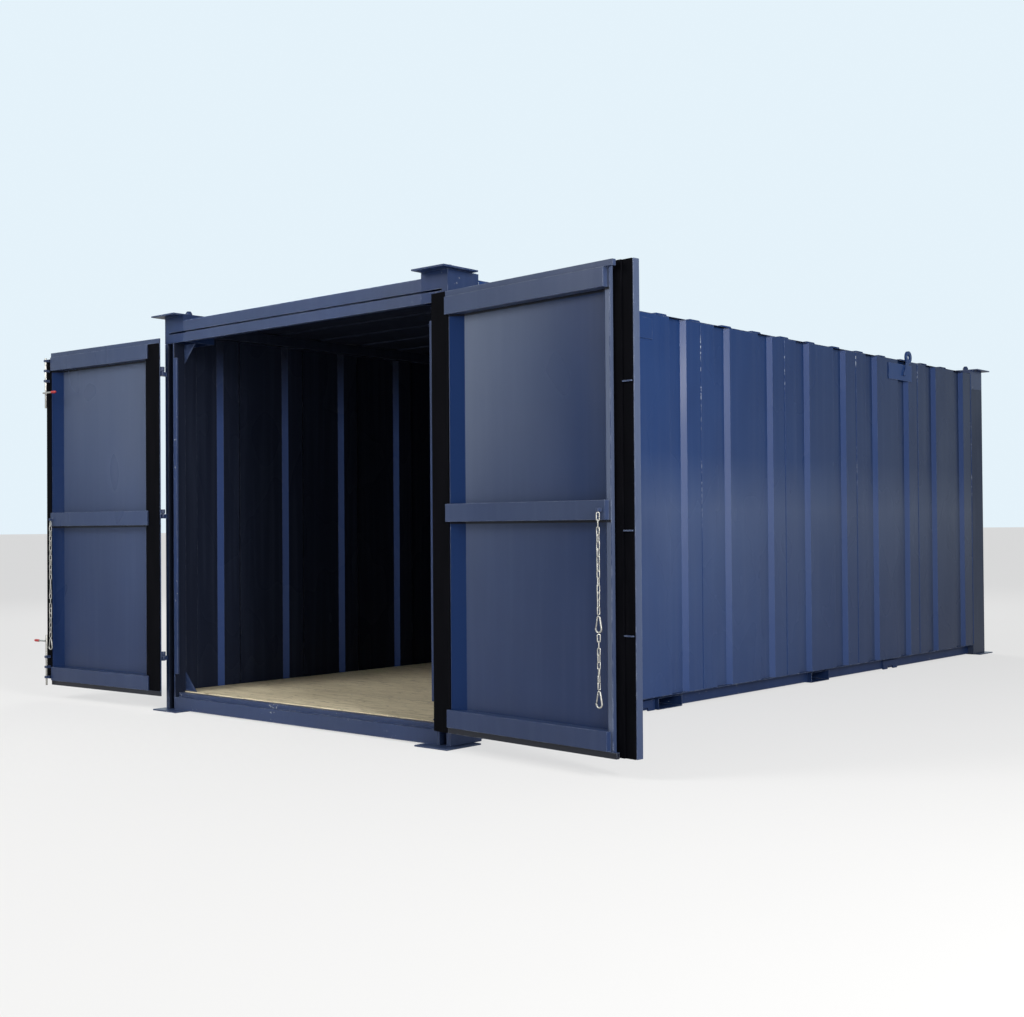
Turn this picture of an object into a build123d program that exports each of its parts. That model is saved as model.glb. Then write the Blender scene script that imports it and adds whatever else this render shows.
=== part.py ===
from build123d import *
import os

# Steel storage container with two overlay doors, both standing open.
# X runs to the right seen from the doors, Y runs from the doors into the container, Z is up.
# The origin is on the ground, in the middle of the four corner feet. Lengths are in millimetres.
# "inset" is measured inward from a side face, "depth" back from the front plane of the posts
# and "reach" forward of that plane.

# Overall frame
frame_length = 6000.0
frame_width = 2200.0
frame_height = 2200.0
cut_overrun = 20.0

# Corner plates, heads and stacking spigots
plate_thickness = 8.0
plate_width = 210.0
plate_depth = 230.0
plate_side_overhang = 38.0
plate_end_overhang = 65.0
head_width = 172.0
head_wall = 8.0
spigot_side_inset = 85.0
spigot_end_inset = 100.0
spigot_radius = 20.0
spigot_height = 32.0
spigot_tip_radius = 12.0
spigot_tip_height = 14.0
socket_clearance = 2.0

# Corner posts
post_depth = 208.0
post_plate = 8.0
post_flange_width = 28.0
post_channel_width = 44.0
post_channel_depth = 45.0
post_inner_flange = 12.0
post_return_depth = 75.0
rear_post_width = 120.0

# Doorway: header, sill, stop strips and gussets
header_drop = 39.0
header_height = 115.0
header_depth = 80.0
header_wall = 5.0
header_strip_depth = 30.0
groove_rise = 49.0
groove_height = 10.0
groove_depth = 20.0
groove_side_inset = 38.0
sill_face_top = 76.0
sill_top = 100.0
sill_ledge_depth = 25.0
sill_depth = 60.0
sill_wall = 8.0
strip_width = 31.0
strip_thickness = 12.0
strip_proud = 6.0
strip_floor_gap = 101.0
strip_head_gap = 84.0
gusset_width = 100.0
gusset_height = 105.0
gusset_thickness = 8.0
gusset_top_gap = 5.0

# Corrugated walls and roof
sheet_thickness = 3.0
sheets_per_side = 6
valley_spacing = 481.0
valley_depth = 26.0
valley_floor_width = 110.0
valley_flank_run = 28.0
rear_wall_setback = 10.0
rear_valleys = 4
roof_ribs = 17
roof_rib_height = 8.0
roof_rib_width = 110.0

# Rails and floor
top_rail_width = 50.0
top_rail_height = 60.0
rail_wall = 5.0
bottom_rail_inset = 45.0
bottom_rail_width = 60.0
bottom_rail_start = 135.0
rail_lip_width = 60.0
rail_lip_thickness = 4.0
floor_thickness = 25.0
floor_side_gap = 6.0
floor_post_gap = 5.0
member_width = 40.0
member_height = 60.0
member_wall = 5.0
members_per_bay = (3, 3, 5)

# Fork pockets, rail feet and lifting eyes
pocket_depth_shares = (0.29433, 0.57333)
pocket_width = 218.0
pocket_height = 55.0
pocket_wall = 5.0
pocket_ground_gap = 4.0
pocket_side_inset = 15.0
foot_length = 207.0
foot_prong_length = 62.0
foot_thickness = 12.0
foot_ground_gap = 3.0
foot_web_bottom = 22.0
foot_top = 62.0
foot_pocket_gap = 8.5
eye_end_distance = 1298.0
eye_rise = 30.0
eye_outer_radius = 44.0
eye_hole_radius = 21.0
eye_thickness = 16.0
shank_thickness = 10.0
shank_width = 40.0
shank_drop = 104.0
shank_lean = 66.0
eye_plate_drop = 27.0
eye_plate_height = 113.0
eye_plate_length = 356.0
eye_plate_overlap = 60.0

# Door leaves, as they lie when closed
leaf_sill_gap = 8.0
leaf_head_lap = 24.0
leaf_edge_inset = 18.0
leaf_margin_reach = 17.0
leaf_panel_reach = 58.0
hinge_margin_width = 124.0
leaf_flank_run = 60.0
right_free_reach = 30.0
right_free_run = 29.0
right_flank_end = 15.0
right_step = -9.0
right_flat_end = -46.0
left_margin_end = -6.0
left_flank_end = -60.0
left_flat_end = -56.0
free_margin_cut = 35.0
cover_reach = 63.0
cover_end = -110.0
cover_lip_width = 4.0
cover_lip_front = 2.0
cover_lip_back = 34.0
cover_seal_step = 7.0
cover_seal_step_width = 44.0
cover_plate_height = 6.0
cover_plate_level_shares = (0.245, 0.4555, 0.755)
door_rail_reach = 5.0
door_rail_height = 80.0
door_rail_inset = 121.0
right_rail_end = 2.0
left_rail_end = -58.0
middle_rail_rise = 988.0
edge_flat_height = 26.0
seal_thickness = 5.0
seal_edge_gap = 6.0
seal_flank_gap = 2.0
seal_rail_gap = 2.0
right_opening_angle = 174.5
left_opening_angle = 176.6

# Hinges
hinge_inset = 30.0
hinge_reach = 41.0
bottom_hinge_rise = 220.0
middle_hinge_rise = 22.0
top_hinge_drop = 181.0
knuckle_radius = 13.0
knuckle_height = 24.0
knuckle_gap = 2.0
hinge_pin_radius = 8.0
hinge_pin_clearance = 0.05
hinge_lug_thickness = 13.0
hinge_strap_length = 68.0
hinge_strap_overlap = 6.0

# Shoot bolts of the left door
bolt_x = -36.0
bolt_depth = 10.0
bolt_radius = 6.0
bolt_clearance = 0.05
bolt_hole_clearance = 1.5
bolt_hole_depth = 45.0
bolt_retracted_gap = 6.0
bolt_length = 300.0
grip_depth = 27.0
grip_radius = 5.0
upper_grip_length = 120.0
lower_grip_length = 88.0
upper_grip_distance = 210.0
lower_grip_distance = 265.0
guide_width = 20.0
guide_height = 14.0
guide_back = 9.0
first_guide_distance = 20.0
guide_pitch = 60.5
guides_per_bolt = 3

# Chains and carabiners
chain_radius = 6.0
chain_reach = -8.0
chain_eye_size = 14.0
right_chain_x = 28.0
left_chain_x = -76.0
right_upper_chain_length = 414.0
right_lower_chain_length = 227.0
left_chain_length = 700.0
carabiner_length = 72.0
carabiner_width = 38.0
carabiner_wire = 8.0
carabiner_corner = 11.0

half_length = frame_length / 2
half_width = frame_width / 2
centre_share = 0.5
header_top = frame_height - header_drop
doorway_top = header_top - header_height
groove_bottom = doorway_top + groove_rise
wall_top = header_top
post_inner = post_flange_width + post_channel_width + post_inner_flange
head_top = frame_height - plate_thickness
floor_bottom = sill_face_top + rail_lip_thickness
floor_top = floor_bottom + floor_thickness
strip_bottom = floor_top + strip_floor_gap
strip_top = doorway_top - strip_head_gap
valley_inner = valley_depth + sheet_thickness
wall_length = frame_length - 2 * post_depth
pocket_depths = [share * frame_length for share in pocket_depth_shares]
pocket_outer_width = pocket_width + 2 * pocket_wall
foot_end_distance = pocket_depths[0] - (pocket_outer_width + foot_length) / 2 - foot_pocket_gap
pocket_bottom = pocket_ground_gap + pocket_wall
pocket_roof = pocket_bottom + pocket_height + pocket_wall
eye_height = wall_top + eye_rise
shank_bottom = wall_top - shank_drop
eye_plate_top = wall_top - eye_plate_drop
eye_plate_bottom = eye_plate_top - eye_plate_height
leaf_bottom = sill_face_top + leaf_sill_gap
leaf_top = doorway_top + leaf_head_lap
middle_rail_level = leaf_bottom + middle_rail_rise
hinge_levels = (
    leaf_bottom + bottom_hinge_rise,
    middle_rail_level + middle_hinge_rise,
    leaf_top - top_hinge_drop,
)
hinge_x = half_width - hinge_inset
hinge_y = -half_length - hinge_reach


def block(x, y, z):
    """Box between two limits on each axis."""
    size = Box(x[1] - x[0], y[1] - y[0], z[1] - z[0])
    return Pos((x[0] + x[1]) / 2, (y[0] + y[1]) / 2, (z[0] + z[1]) / 2) * size


def upright(points, low, high):
    """Plan outline raised from one height to another."""
    outline = make_face(Polyline(*points, close=True))
    return extrude(Pos(0, 0, low) * outline, high - low, dir=(0, 0, 1))


def crosswise(points, low, high):
    """Outline of Y and Z values drawn out along X."""
    outline = make_face(Polyline(*points, close=True))
    return extrude(Plane.YZ.offset(low) * outline, high - low, dir=(1, 0, 0))


def lengthwise(points, low, high):
    """Outline of X and Z values drawn out along Y."""
    plane = Plane(origin=(0, low, 0), x_dir=(1, 0, 0), z_dir=(0, -1, 0))
    outline = make_face(Polyline(*points, close=True))
    return extrude(plane * outline, high - low, dir=(0, 1, 0))


def rod(radius, low, high):
    """Upright round bar on the origin's axis."""
    return Pos(0, 0, (low + high) / 2) * Cylinder(radius, high - low)


def to_left(shape):
    return mirror(shape, about=Plane.YZ)


def to_rear(shape):
    return mirror(shape, about=Plane.XZ)


def write(node, *solids):
    shape = solids[0] if len(solids) == 1 else Compound(children=list(solids))
    export_step(shape, f"parts/{node}.step")


def side_x(inset):
    """X of a point on the right half, from its inset."""
    return half_width - inset


def front_y(depth):
    """Y of a point, from its depth behind the front plane."""
    return depth - half_length


def four_corners(shape):
    """A front right piece and its copies at the other three corners."""
    left = to_left(shape)
    return shape, left, to_rear(shape), to_rear(left)


def corner_plate_limits():
    x = (side_x(plate_width - plate_side_overhang), side_x(-plate_side_overhang))
    y = (front_y(-plate_end_overhang), front_y(plate_depth - plate_end_overhang))
    return x, y


def corner_foot():
    x, y = corner_plate_limits()
    plate = block(x, y, (0, plate_thickness))
    socket = rod(spigot_radius + socket_clearance, -cut_overrun, plate_thickness + cut_overrun)
    return plate - Pos(side_x(spigot_side_inset), front_y(spigot_end_inset), 0) * socket


def corner_head(grooved):
    x = (side_x(head_width), side_x(0))
    y = (front_y(0), front_y(post_depth))
    shell = block(x, y, (doorway_top, head_top))
    cavity = block(
        (x[0] + head_wall, x[1] - head_wall),
        (y[0] + head_wall, y[1] - head_wall),
        (doorway_top - cut_overrun, head_top - head_wall),
    )
    shell -= cavity
    if grooved:
        shell -= block(
            (x[0] - cut_overrun, side_x(groove_side_inset)),
            (y[0] - cut_overrun, y[0] + groove_depth),
            (groove_bottom, groove_bottom + groove_height),
        )
    plate_x, plate_y = corner_plate_limits()
    plate = block(plate_x, plate_y, (head_top, frame_height))
    shaft_height = spigot_height - spigot_tip_height
    shaft = rod(spigot_radius, frame_height, frame_height + shaft_height)
    tip = Pos(0, 0, frame_height + shaft_height + spigot_tip_height / 2) * Cone(
        spigot_radius, spigot_tip_radius, spigot_tip_height
    )
    spigot = Pos(side_x(spigot_side_inset), front_y(spigot_end_inset), 0) * (shaft + tip)
    return shell + plate + spigot


def front_post():
    channel_start = post_flange_width
    channel_end = post_flange_width + post_channel_width
    return_start = post_inner - post_plate
    channel_back = post_channel_depth + post_plate
    outline = [
        (0, 0),
        (channel_start, 0),
        (channel_start, post_channel_depth),
        (channel_end, post_channel_depth),
        (channel_end, 0),
        (post_inner, 0),
        (post_inner, post_return_depth),
        (return_start, post_return_depth),
        (return_start, channel_back),
        (post_plate, channel_back),
        (post_plate, post_depth),
        (0, post_depth),
    ]
    points = [(side_x(inset), front_y(depth)) for inset, depth in outline]
    return upright(points, plate_thickness, doorway_top)


def rear_post():
    x = (side_x(rear_post_width), side_x(0))
    y = (half_length - post_depth, half_length)
    tube = block(x, y, (plate_thickness, doorway_top))
    return tube - block(
        (x[0] + post_plate, x[1] - post_plate),
        (y[0] + post_plate, y[1] - post_plate),
        (plate_thickness - cut_overrun, doorway_top + cut_overrun),
    )


def bolt_hole(low, high):
    hole = rod(bolt_radius + bolt_hole_clearance, low, high)
    return Pos(bolt_x, front_y(bolt_depth), 0) * hole


def front_header():
    groove_top = groove_bottom + groove_height
    outline = [
        (0, doorway_top),
        (0, groove_bottom),
        (groove_depth, groove_bottom),
        (groove_depth, groove_top),
        (0, groove_top),
        (0, header_top),
        (header_depth, header_top),
        (header_depth, groove_bottom),
        (header_strip_depth, groove_bottom),
        (header_strip_depth, doorway_top),
    ]
    reach = side_x(head_width)
    beam = crosswise([(front_y(depth), z) for depth, z in outline], -reach, reach)
    beam -= block(
        (-reach - cut_overrun, reach + cut_overrun),
        (front_y(header_wall), front_y(header_depth - header_wall)),
        (groove_top + header_wall, header_top - header_wall),
    )
    return beam - bolt_hole(doorway_top - cut_overrun, doorway_top + bolt_hole_depth)


def rear_header():
    reach = side_x(head_width)
    y = (half_length - header_depth, half_length)
    beam = block((-reach, reach), y, (doorway_top, header_top))
    return beam - block(
        (-reach - cut_overrun, reach + cut_overrun),
        (y[0] + header_wall, y[1] - header_wall),
        (doorway_top + header_wall, header_top - header_wall),
    )


def front_sill():
    outline = [
        (0, plate_thickness),
        (0, sill_face_top),
        (sill_ledge_depth, sill_face_top),
        (sill_ledge_depth, sill_top),
        (sill_depth, sill_top),
        (sill_depth, plate_thickness),
    ]
    reach = side_x(post_inner)
    beam = crosswise([(front_y(depth), z) for depth, z in outline], -reach, reach)
    beam -= block(
        (-reach - cut_overrun, reach + cut_overrun),
        (front_y(sill_wall), front_y(sill_depth - sill_wall)),
        (plate_thickness + sill_wall, sill_face_top - sill_wall),
    )
    return beam - bolt_hole(sill_face_top - bolt_hole_depth, sill_face_top + cut_overrun)


def rear_sill():
    reach = side_x(rear_post_width)
    y = (half_length - sill_depth, half_length)
    beam = block((-reach, reach), y, (plate_thickness, sill_top))
    return beam - block(
        (-reach - cut_overrun, reach + cut_overrun),
        (y[0] + sill_wall, y[1] - sill_wall),
        (plate_thickness + sill_wall, sill_top - sill_wall),
    )


def stop_strip():
    return block(
        (side_x(post_inner + strip_width), side_x(post_inner)),
        (front_y(-strip_proud), front_y(strip_thickness - strip_proud)),
        (strip_bottom, strip_top),
    )


def gusset(edge, tip):
    """Triangle against the post, with its level edge at one height and its tip at another."""
    corner = side_x(post_inner)
    back = front_y(post_return_depth)
    points = [(corner, edge), (corner - gusset_width, edge), (corner, tip)]
    return lengthwise(points, back - gusset_thickness, back)


def corrugation(centres, start, end):
    """Outer edge of a pressed sheet, as distance along it and depth of the pressing."""
    half_floor = valley_floor_width / 2
    half_mouth = half_floor + valley_flank_run
    points = [(start, 0)]
    for centre in centres:
        points.append((centre - half_mouth, 0))
        points.append((centre - half_floor, valley_depth))
        points.append((centre + half_floor, valley_depth))
        points.append((centre + half_mouth, 0))
    points.append((end, 0))
    return points


def thickened(points):
    return points + [(along, depth + sheet_thickness) for along, depth in reversed(points)]


def side_wall():
    sheet_length = wall_length / sheets_per_side
    centres = []
    for sheet in range(sheets_per_side):
        middle = post_depth + (sheet + centre_share) * sheet_length
        centres += [middle - valley_spacing / 2, middle + valley_spacing / 2]
    edge = corrugation(centres, post_depth, frame_length - post_depth)
    points = [(side_x(inset), front_y(depth)) for depth, inset in thickened(edge)]
    return upright(points, floor_bottom, wall_top)


def rear_wall():
    reach = side_x(rear_post_width)
    pitch = 2 * reach / rear_valleys
    centres = [(valley + centre_share) * pitch - reach for valley in range(rear_valleys)]
    edge = corrugation(centres, -reach, reach)
    outer = half_length - rear_wall_setback
    points = [(x, outer - depth) for x, depth in thickened(edge)]
    return upright(points, sill_top, doorway_top)


def rib_outline(centre, base, foot):
    """Cross-section of a roof rib that slopes up from a base, with a straight foot below it."""
    half = roof_rib_width / 2
    top = base + roof_rib_height
    return [
        (centre - half, foot),
        (centre + half, foot),
        (centre + half, base),
        (centre + half - roof_rib_height, top),
        (centre - half + roof_rib_height, top),
        (centre - half, base),
    ]


def roof():
    """Sheet over the walls with hollow pressed ribs, closed at their ends."""
    start = front_y(post_depth)
    pitch = wall_length / roof_ribs
    reach = side_x(0)
    hollow_reach = reach - sheet_thickness
    roof_top = header_top + sheet_thickness
    sheet = block((-reach, reach), (start, -start), (header_top, roof_top))
    centres = [start + (rib + centre_share) * pitch for rib in range(roof_ribs)]
    for centre in centres:
        sheet += crosswise(rib_outline(centre, roof_top, header_top), -reach, reach)
    for centre in centres:
        hollow = rib_outline(centre, header_top, header_top - cut_overrun)
        sheet -= crosswise(hollow, -hollow_reach, hollow_reach)
    end_reach = side_x(head_width)
    front_end = block(
        (-end_reach, end_reach),
        (front_y(0), start),
        (header_top, roof_top),
    )
    return sheet + front_end + to_rear(front_end)


def top_rail():
    x = (side_x(valley_inner + top_rail_width), side_x(valley_inner))
    z = (header_top - top_rail_height, header_top)
    y = (front_y(post_depth), -front_y(post_depth))
    return block(x, y, z) - block(
        (x[0] + rail_wall, x[1] - rail_wall),
        (y[0] - cut_overrun, y[1] + cut_overrun),
        (z[0] + rail_wall, z[1] - rail_wall),
    )


def pocket_limits(depth):
    half = pocket_width / 2 + pocket_wall
    return front_y(depth) - half, front_y(depth) + half


def bottom_rail():
    x = (side_x(bottom_rail_inset + bottom_rail_width), side_x(bottom_rail_inset))
    y = (front_y(bottom_rail_start), half_length - post_depth)
    z = (plate_thickness, sill_face_top)
    rail = block(x, y, z) - block(
        (x[0] + rail_wall, x[1] - rail_wall),
        (y[0] - cut_overrun, y[1] + cut_overrun),
        (z[0] + rail_wall, z[1] - rail_wall),
    )
    for depth in pocket_depths:
        rail -= block(
            (x[0] - cut_overrun, x[1] + cut_overrun),
            pocket_limits(depth),
            (z[0] - cut_overrun, pocket_roof),
        )
    lip = block(
        (side_x(rail_lip_width), side_x(0)),
        (front_y(post_depth), y[1]),
        (sill_face_top, floor_bottom),
    )
    return rail + lip


def fork_pocket(depth):
    reach = side_x(pocket_side_inset)
    tube = block((-reach, reach), pocket_limits(depth), (pocket_ground_gap, pocket_roof))
    low, high = pocket_limits(depth)
    return tube - block(
        (-reach - cut_overrun, reach + cut_overrun),
        (low + pocket_wall, high - pocket_wall),
        (pocket_bottom, pocket_bottom + pocket_height),
    )


def cross_member(depth):
    """Channel open towards the doors."""
    bottom = floor_bottom - member_height
    back = depth + member_width / 2
    front = depth - member_width / 2
    outline = [
        (front, bottom),
        (back, bottom),
        (back, floor_bottom),
        (front, floor_bottom),
        (front, floor_bottom - member_wall),
        (back - member_wall, floor_bottom - member_wall),
        (back - member_wall, bottom + member_wall),
        (front, bottom + member_wall),
    ]
    reach = side_x(bottom_rail_inset + bottom_rail_width)
    return crosswise([(front_y(d), z) for d, z in outline], -reach, reach)


def cross_members():
    stops = [sill_depth, *pocket_depths, frame_length - sill_depth]
    members = []
    for bay, count in enumerate(members_per_bay):
        pitch = (stops[bay + 1] - stops[bay]) / (count + 1)
        members += [cross_member(stops[bay] + (n + 1) * pitch) for n in range(count)]
    return members


def floor_board():
    wide = side_x(valley_inner + floor_side_gap)
    front_narrow = side_x(post_inner + floor_side_gap)
    rear_narrow = side_x(rear_post_width + floor_side_gap)
    right_edge = [
        (front_narrow, sill_depth),
        (front_narrow, post_return_depth + floor_post_gap),
        (wide, post_return_depth + floor_post_gap),
        (wide, frame_length - post_depth - floor_post_gap),
        (rear_narrow, frame_length - post_depth - floor_post_gap),
        (rear_narrow, frame_length - sill_depth),
    ]
    points = [(x, front_y(depth)) for x, depth in right_edge]
    points += [(-x, front_y(depth)) for x, depth in reversed(right_edge)]
    return upright(points, floor_bottom, floor_top)


def rail_foot():
    """Plate on the rail's outer face, standing on two prongs."""
    outer = side_x(bottom_rail_inset)
    middle = front_y(foot_end_distance)
    half = foot_length / 2
    x = (outer, outer + foot_thickness)
    plate = block(x, (middle - half, middle + half), (foot_ground_gap, foot_top))
    gap = half - foot_prong_length
    return plate - block(
        (x[0] - cut_overrun, x[1] + cut_overrun),
        (middle - gap, middle + gap),
        (foot_ground_gap - cut_overrun, foot_web_bottom),
    )


def lifting_eye():
    """Ring on a leaning shank, on a plate that bridges the wall's crests."""
    outer = side_x(0)
    centre = front_y(eye_end_distance)
    plate_start = centre - eye_plate_overlap
    plate_end = plate_start + eye_plate_length
    seat = eye_thickness - shank_thickness
    plate = block(
        (outer, outer + seat),
        (plate_start, plate_end),
        (eye_plate_bottom, eye_plate_top),
    )
    half = shank_width / 2
    foot = centre + shank_lean
    shank_outline = [
        (foot - half, shank_bottom),
        (foot + half, shank_bottom),
        (centre + half, eye_height),
        (centre - half, eye_height),
    ]
    shank = crosswise(shank_outline, outer + seat, outer + eye_thickness)
    across = Pos(outer + eye_thickness / 2, centre, eye_height) * Rot(0, 90, 0)
    ring = across * Cylinder(eye_outer_radius, eye_thickness)
    hole = across * Cylinder(eye_hole_radius, eye_thickness + 2 * cut_overrun)
    return plate + shank + ring - hole


def leaf_point(inset, reach):
    """Plan point of a closed right leaf."""
    return side_x(inset), front_y(-reach)


def leaf_prism(outline, low, high):
    return upright([leaf_point(inset, reach) for inset, reach in outline], low, high)


def leaf_block(insets, reaches, levels):
    x = (side_x(insets[1]), side_x(insets[0]))
    y = (front_y(-reaches[1]), front_y(-reaches[0]))
    return block(x, y, levels)


def inner_edge(flank_end, edge_end, free_run, free_reach):
    """Inner side of the pressed leaf, from the hinge edge to the free edge."""
    margin_end = leaf_edge_inset + hinge_margin_width
    return [
        (leaf_edge_inset, leaf_margin_reach),
        (margin_end, leaf_margin_reach),
        (margin_end + leaf_flank_run, leaf_panel_reach),
        (flank_end - free_run, leaf_panel_reach),
        (flank_end, free_reach),
        (edge_end, free_reach),
    ]


def right_edge():
    flank_end = half_width - right_flank_end
    return inner_edge(flank_end, half_width - right_step, right_free_run, right_free_reach)


def left_edge():
    flank_end = half_width + left_flank_end
    return inner_edge(flank_end, half_width + left_margin_end, leaf_flank_run, leaf_margin_reach)


def leaf_sheet(edge):
    return leaf_prism(thickened(edge), leaf_bottom, leaf_top)


def left_leaf():
    """Left sheet, its free margin cut short at the head and the sill."""
    sheet = leaf_sheet(left_edge())
    insets = (half_width + left_flat_end, half_width + left_margin_end + cut_overrun)
    reaches = (leaf_margin_reach - cut_overrun, leaf_margin_reach + sheet_thickness + cut_overrun)
    for low, high in ((leaf_bottom, leaf_bottom + free_margin_cut), (leaf_top - free_margin_cut, leaf_top)):
        sheet -= leaf_block(insets, reaches, (low, high))
    return sheet


def filled_rail(edge, front_reach, start, end, low, high):
    """Bar across the leaf, its back fitted to the pressed sheet; it may run on past the free edge."""
    full = [(edge[0][0], front_reach), (edge[-1][0], front_reach), *reversed(edge)]
    bar = leaf_prism(full, low, high)
    limits = leaf_block(
        (start, end),
        (front_reach, leaf_panel_reach),
        (low, high),
    )
    bar = bar & limits
    edge_inset, edge_reach = edge[-1]
    if end > edge_inset:
        bar += leaf_block((edge_inset, end), (front_reach, edge_reach), (low, high))
    return bar


def door_rails(edge, flat_start, flat_end, rail_end, chain_inset):
    """Top, middle and bottom bars; the outer two carry the leaf's edge flats."""
    flat_reach = leaf_margin_reach - seal_thickness
    top_flat = filled_rail(edge, flat_reach, flat_start, flat_end, leaf_top - edge_flat_height, leaf_top)
    flat_top = leaf_bottom + edge_flat_height
    bottom_flat = filled_rail(edge, flat_reach, flat_start, flat_end, leaf_bottom, flat_top)
    bars = []
    for low, high in rail_levels():
        bars.append(filled_rail(edge, door_rail_reach, door_rail_inset, rail_end, low, high))
    bottom_bar, middle_bar, top_bar = bars
    half_eye = chain_eye_size / 2
    eye = leaf_block(
        (chain_inset - half_eye, chain_inset + half_eye),
        (chain_reach - half_eye, door_rail_reach),
        (middle_rail_level - half_eye, middle_rail_level + half_eye),
    )
    return bottom_bar + bottom_flat, middle_bar + eye, top_bar + top_flat


def rail_levels():
    half = door_rail_height / 2
    bottom = leaf_bottom + edge_flat_height
    top = leaf_top - edge_flat_height
    return [
        (bottom, bottom + door_rail_height),
        (middle_rail_level - half, middle_rail_level + half),
        (top - door_rail_height, top),
    ]


def seal_levels():
    return leaf_bottom + edge_flat_height, leaf_top - edge_flat_height


def full_rail_levels():
    """Heights of the bars, the outer two with their edge flats."""
    bottom, middle, top = rail_levels()
    return [(leaf_bottom, bottom[1]), middle, (top[0], leaf_top)]


def hinge_seal(levels, cut_levels):
    """Rubber face of the hinge margin, cut out at the bars."""
    reaches = (leaf_margin_reach - seal_thickness, leaf_margin_reach)
    margin_end = leaf_edge_inset + hinge_margin_width
    insets = (leaf_edge_inset + seal_edge_gap, margin_end - seal_flank_gap)
    seal = leaf_block(insets, reaches, levels)
    for low, high in cut_levels:
        seal -= leaf_block(
            (door_rail_inset - seal_rail_gap, margin_end + cut_overrun),
            (reaches[0] - cut_overrun, reaches[1] + cut_overrun),
            (low - seal_rail_gap, high + seal_rail_gap),
        )
    return seal


def hinge_lug(level):
    """Lug on the post's outer flange, with a knuckle and the hinge pin."""
    top = level - knuckle_gap / 2
    bottom = top - knuckle_height
    plate = block(
        (side_x(hinge_lug_thickness), side_x(0)),
        (front_y(-hinge_reach), front_y(0)),
        (bottom, top),
    )
    bridge = block(
        (side_x(hinge_inset), side_x(0)),
        (front_y(-hinge_reach), front_y(-hinge_reach + knuckle_radius)),
        (bottom, top),
    )
    knuckle = rod(knuckle_radius, bottom, top)
    pin = rod(hinge_pin_radius, bottom, level + knuckle_gap / 2 + knuckle_height)
    return plate + bridge + Pos(hinge_x, hinge_y, 0) * (knuckle + pin)


def door_knuckle(level):
    """Knuckle over the hinge pin, with a strap on the outer side of the leaf's margin."""
    bottom = level + knuckle_gap / 2
    top = bottom + knuckle_height
    margin_outer = leaf_margin_reach + sheet_thickness
    strap_top = hinge_reach - knuckle_radius + hinge_strap_overlap
    strap = leaf_block(
        (hinge_inset - knuckle_radius / 2, hinge_inset + hinge_strap_length),
        (margin_outer, strap_top),
        (bottom, top),
    )
    knuckle = Pos(hinge_x, hinge_y, 0) * rod(knuckle_radius, bottom, top)
    bore = Pos(hinge_x, hinge_y, 0) * rod(
        hinge_pin_radius + hinge_pin_clearance, bottom - cut_overrun, top + cut_overrun
    )
    return strap + knuckle - bore


def cover_strip():
    """Strip beside the right leaf's free edge that laps over the left leaf from outside."""
    step_outer = half_width - right_step
    step_inner = step_outer - sheet_thickness
    end = half_width - cover_end
    lip_start = end - cover_lip_width
    face = cover_reach + sheet_thickness
    flange = right_free_reach + sheet_thickness
    outline = [
        (step_inner, flange),
        (step_outer, flange),
        (step_outer, cover_reach),
        (lip_start, cover_reach),
        (lip_start, cover_reach - cover_lip_front),
        (end, cover_reach - cover_lip_front),
        (end, cover_reach + cover_lip_back),
        (lip_start, cover_reach + cover_lip_back),
        (lip_start, face),
        (step_inner, face),
    ]
    return leaf_prism(outline, leaf_bottom, leaf_top)


def cover_seal():
    """Rubber on the cover strip, thicker beside the leaf."""
    start = half_width - right_step
    step = start + cover_seal_step_width
    end = half_width - cover_end - cover_lip_width - seal_flank_gap
    face = cover_reach - seal_thickness
    thick = leaf_block((start, step), (face - cover_seal_step, cover_reach), (leaf_bottom, leaf_top))
    return thick + leaf_block((step, end), (face, cover_reach), (leaf_bottom, leaf_top))


def cover_plate(level_share):
    """Thin level rib between the thick rubber and the strip's lip."""
    level = leaf_bottom + level_share * (leaf_top - leaf_bottom)
    start = half_width - right_step + cover_seal_step_width
    end = half_width - cover_end - cover_lip_width - seal_flank_gap
    face = cover_reach - seal_thickness
    half = cover_plate_height / 2
    return leaf_block((start, end), (face - cover_seal_step, face), (level - half, level + half))


def guide_levels():
    distances = [first_guide_distance + n * guide_pitch for n in range(guides_per_bolt)]
    low = [leaf_bottom + edge_flat_height + distance for distance in distances]
    high = [leaf_top - edge_flat_height - distance for distance in distances]
    return low + high


def bolt_inset():
    """Inset of the shoot bolts on the left leaf, counted like the right leaf's insets."""
    return half_width + bolt_x


def bolt_place(shape):
    return Pos(side_x(bolt_inset()), front_y(bolt_depth), 0) * shape


def guide_limits(level):
    half = guide_width / 2
    insets = (bolt_inset() - half, bolt_inset() + half)
    reaches = (-bolt_depth - guide_back, leaf_margin_reach)
    return insets, reaches, (level - guide_height / 2, level + guide_height / 2)


def bolt_guide(level):
    insets, reaches, levels = guide_limits(level)
    bore = rod(bolt_radius + bolt_clearance, levels[0] - cut_overrun, levels[1] + cut_overrun)
    return leaf_block(insets, reaches, levels) - bolt_place(bore)


def free_seal():
    """Rubber face of the left leaf's free margin, cut out at the bolt guides."""
    flank_end = half_width + left_flank_end
    edge_end = half_width + left_margin_end
    reaches = (leaf_margin_reach - seal_thickness, leaf_margin_reach)
    levels = (leaf_bottom + free_margin_cut, leaf_top - free_margin_cut)
    seal = leaf_block((flank_end + seal_flank_gap, edge_end - seal_edge_gap), reaches, levels)
    for level in guide_levels():
        insets, guide_reaches, levels = guide_limits(level)
        seal -= leaf_block(
            insets,
            (guide_reaches[0], leaf_margin_reach + cut_overrun),
            levels,
        )
    return seal


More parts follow.
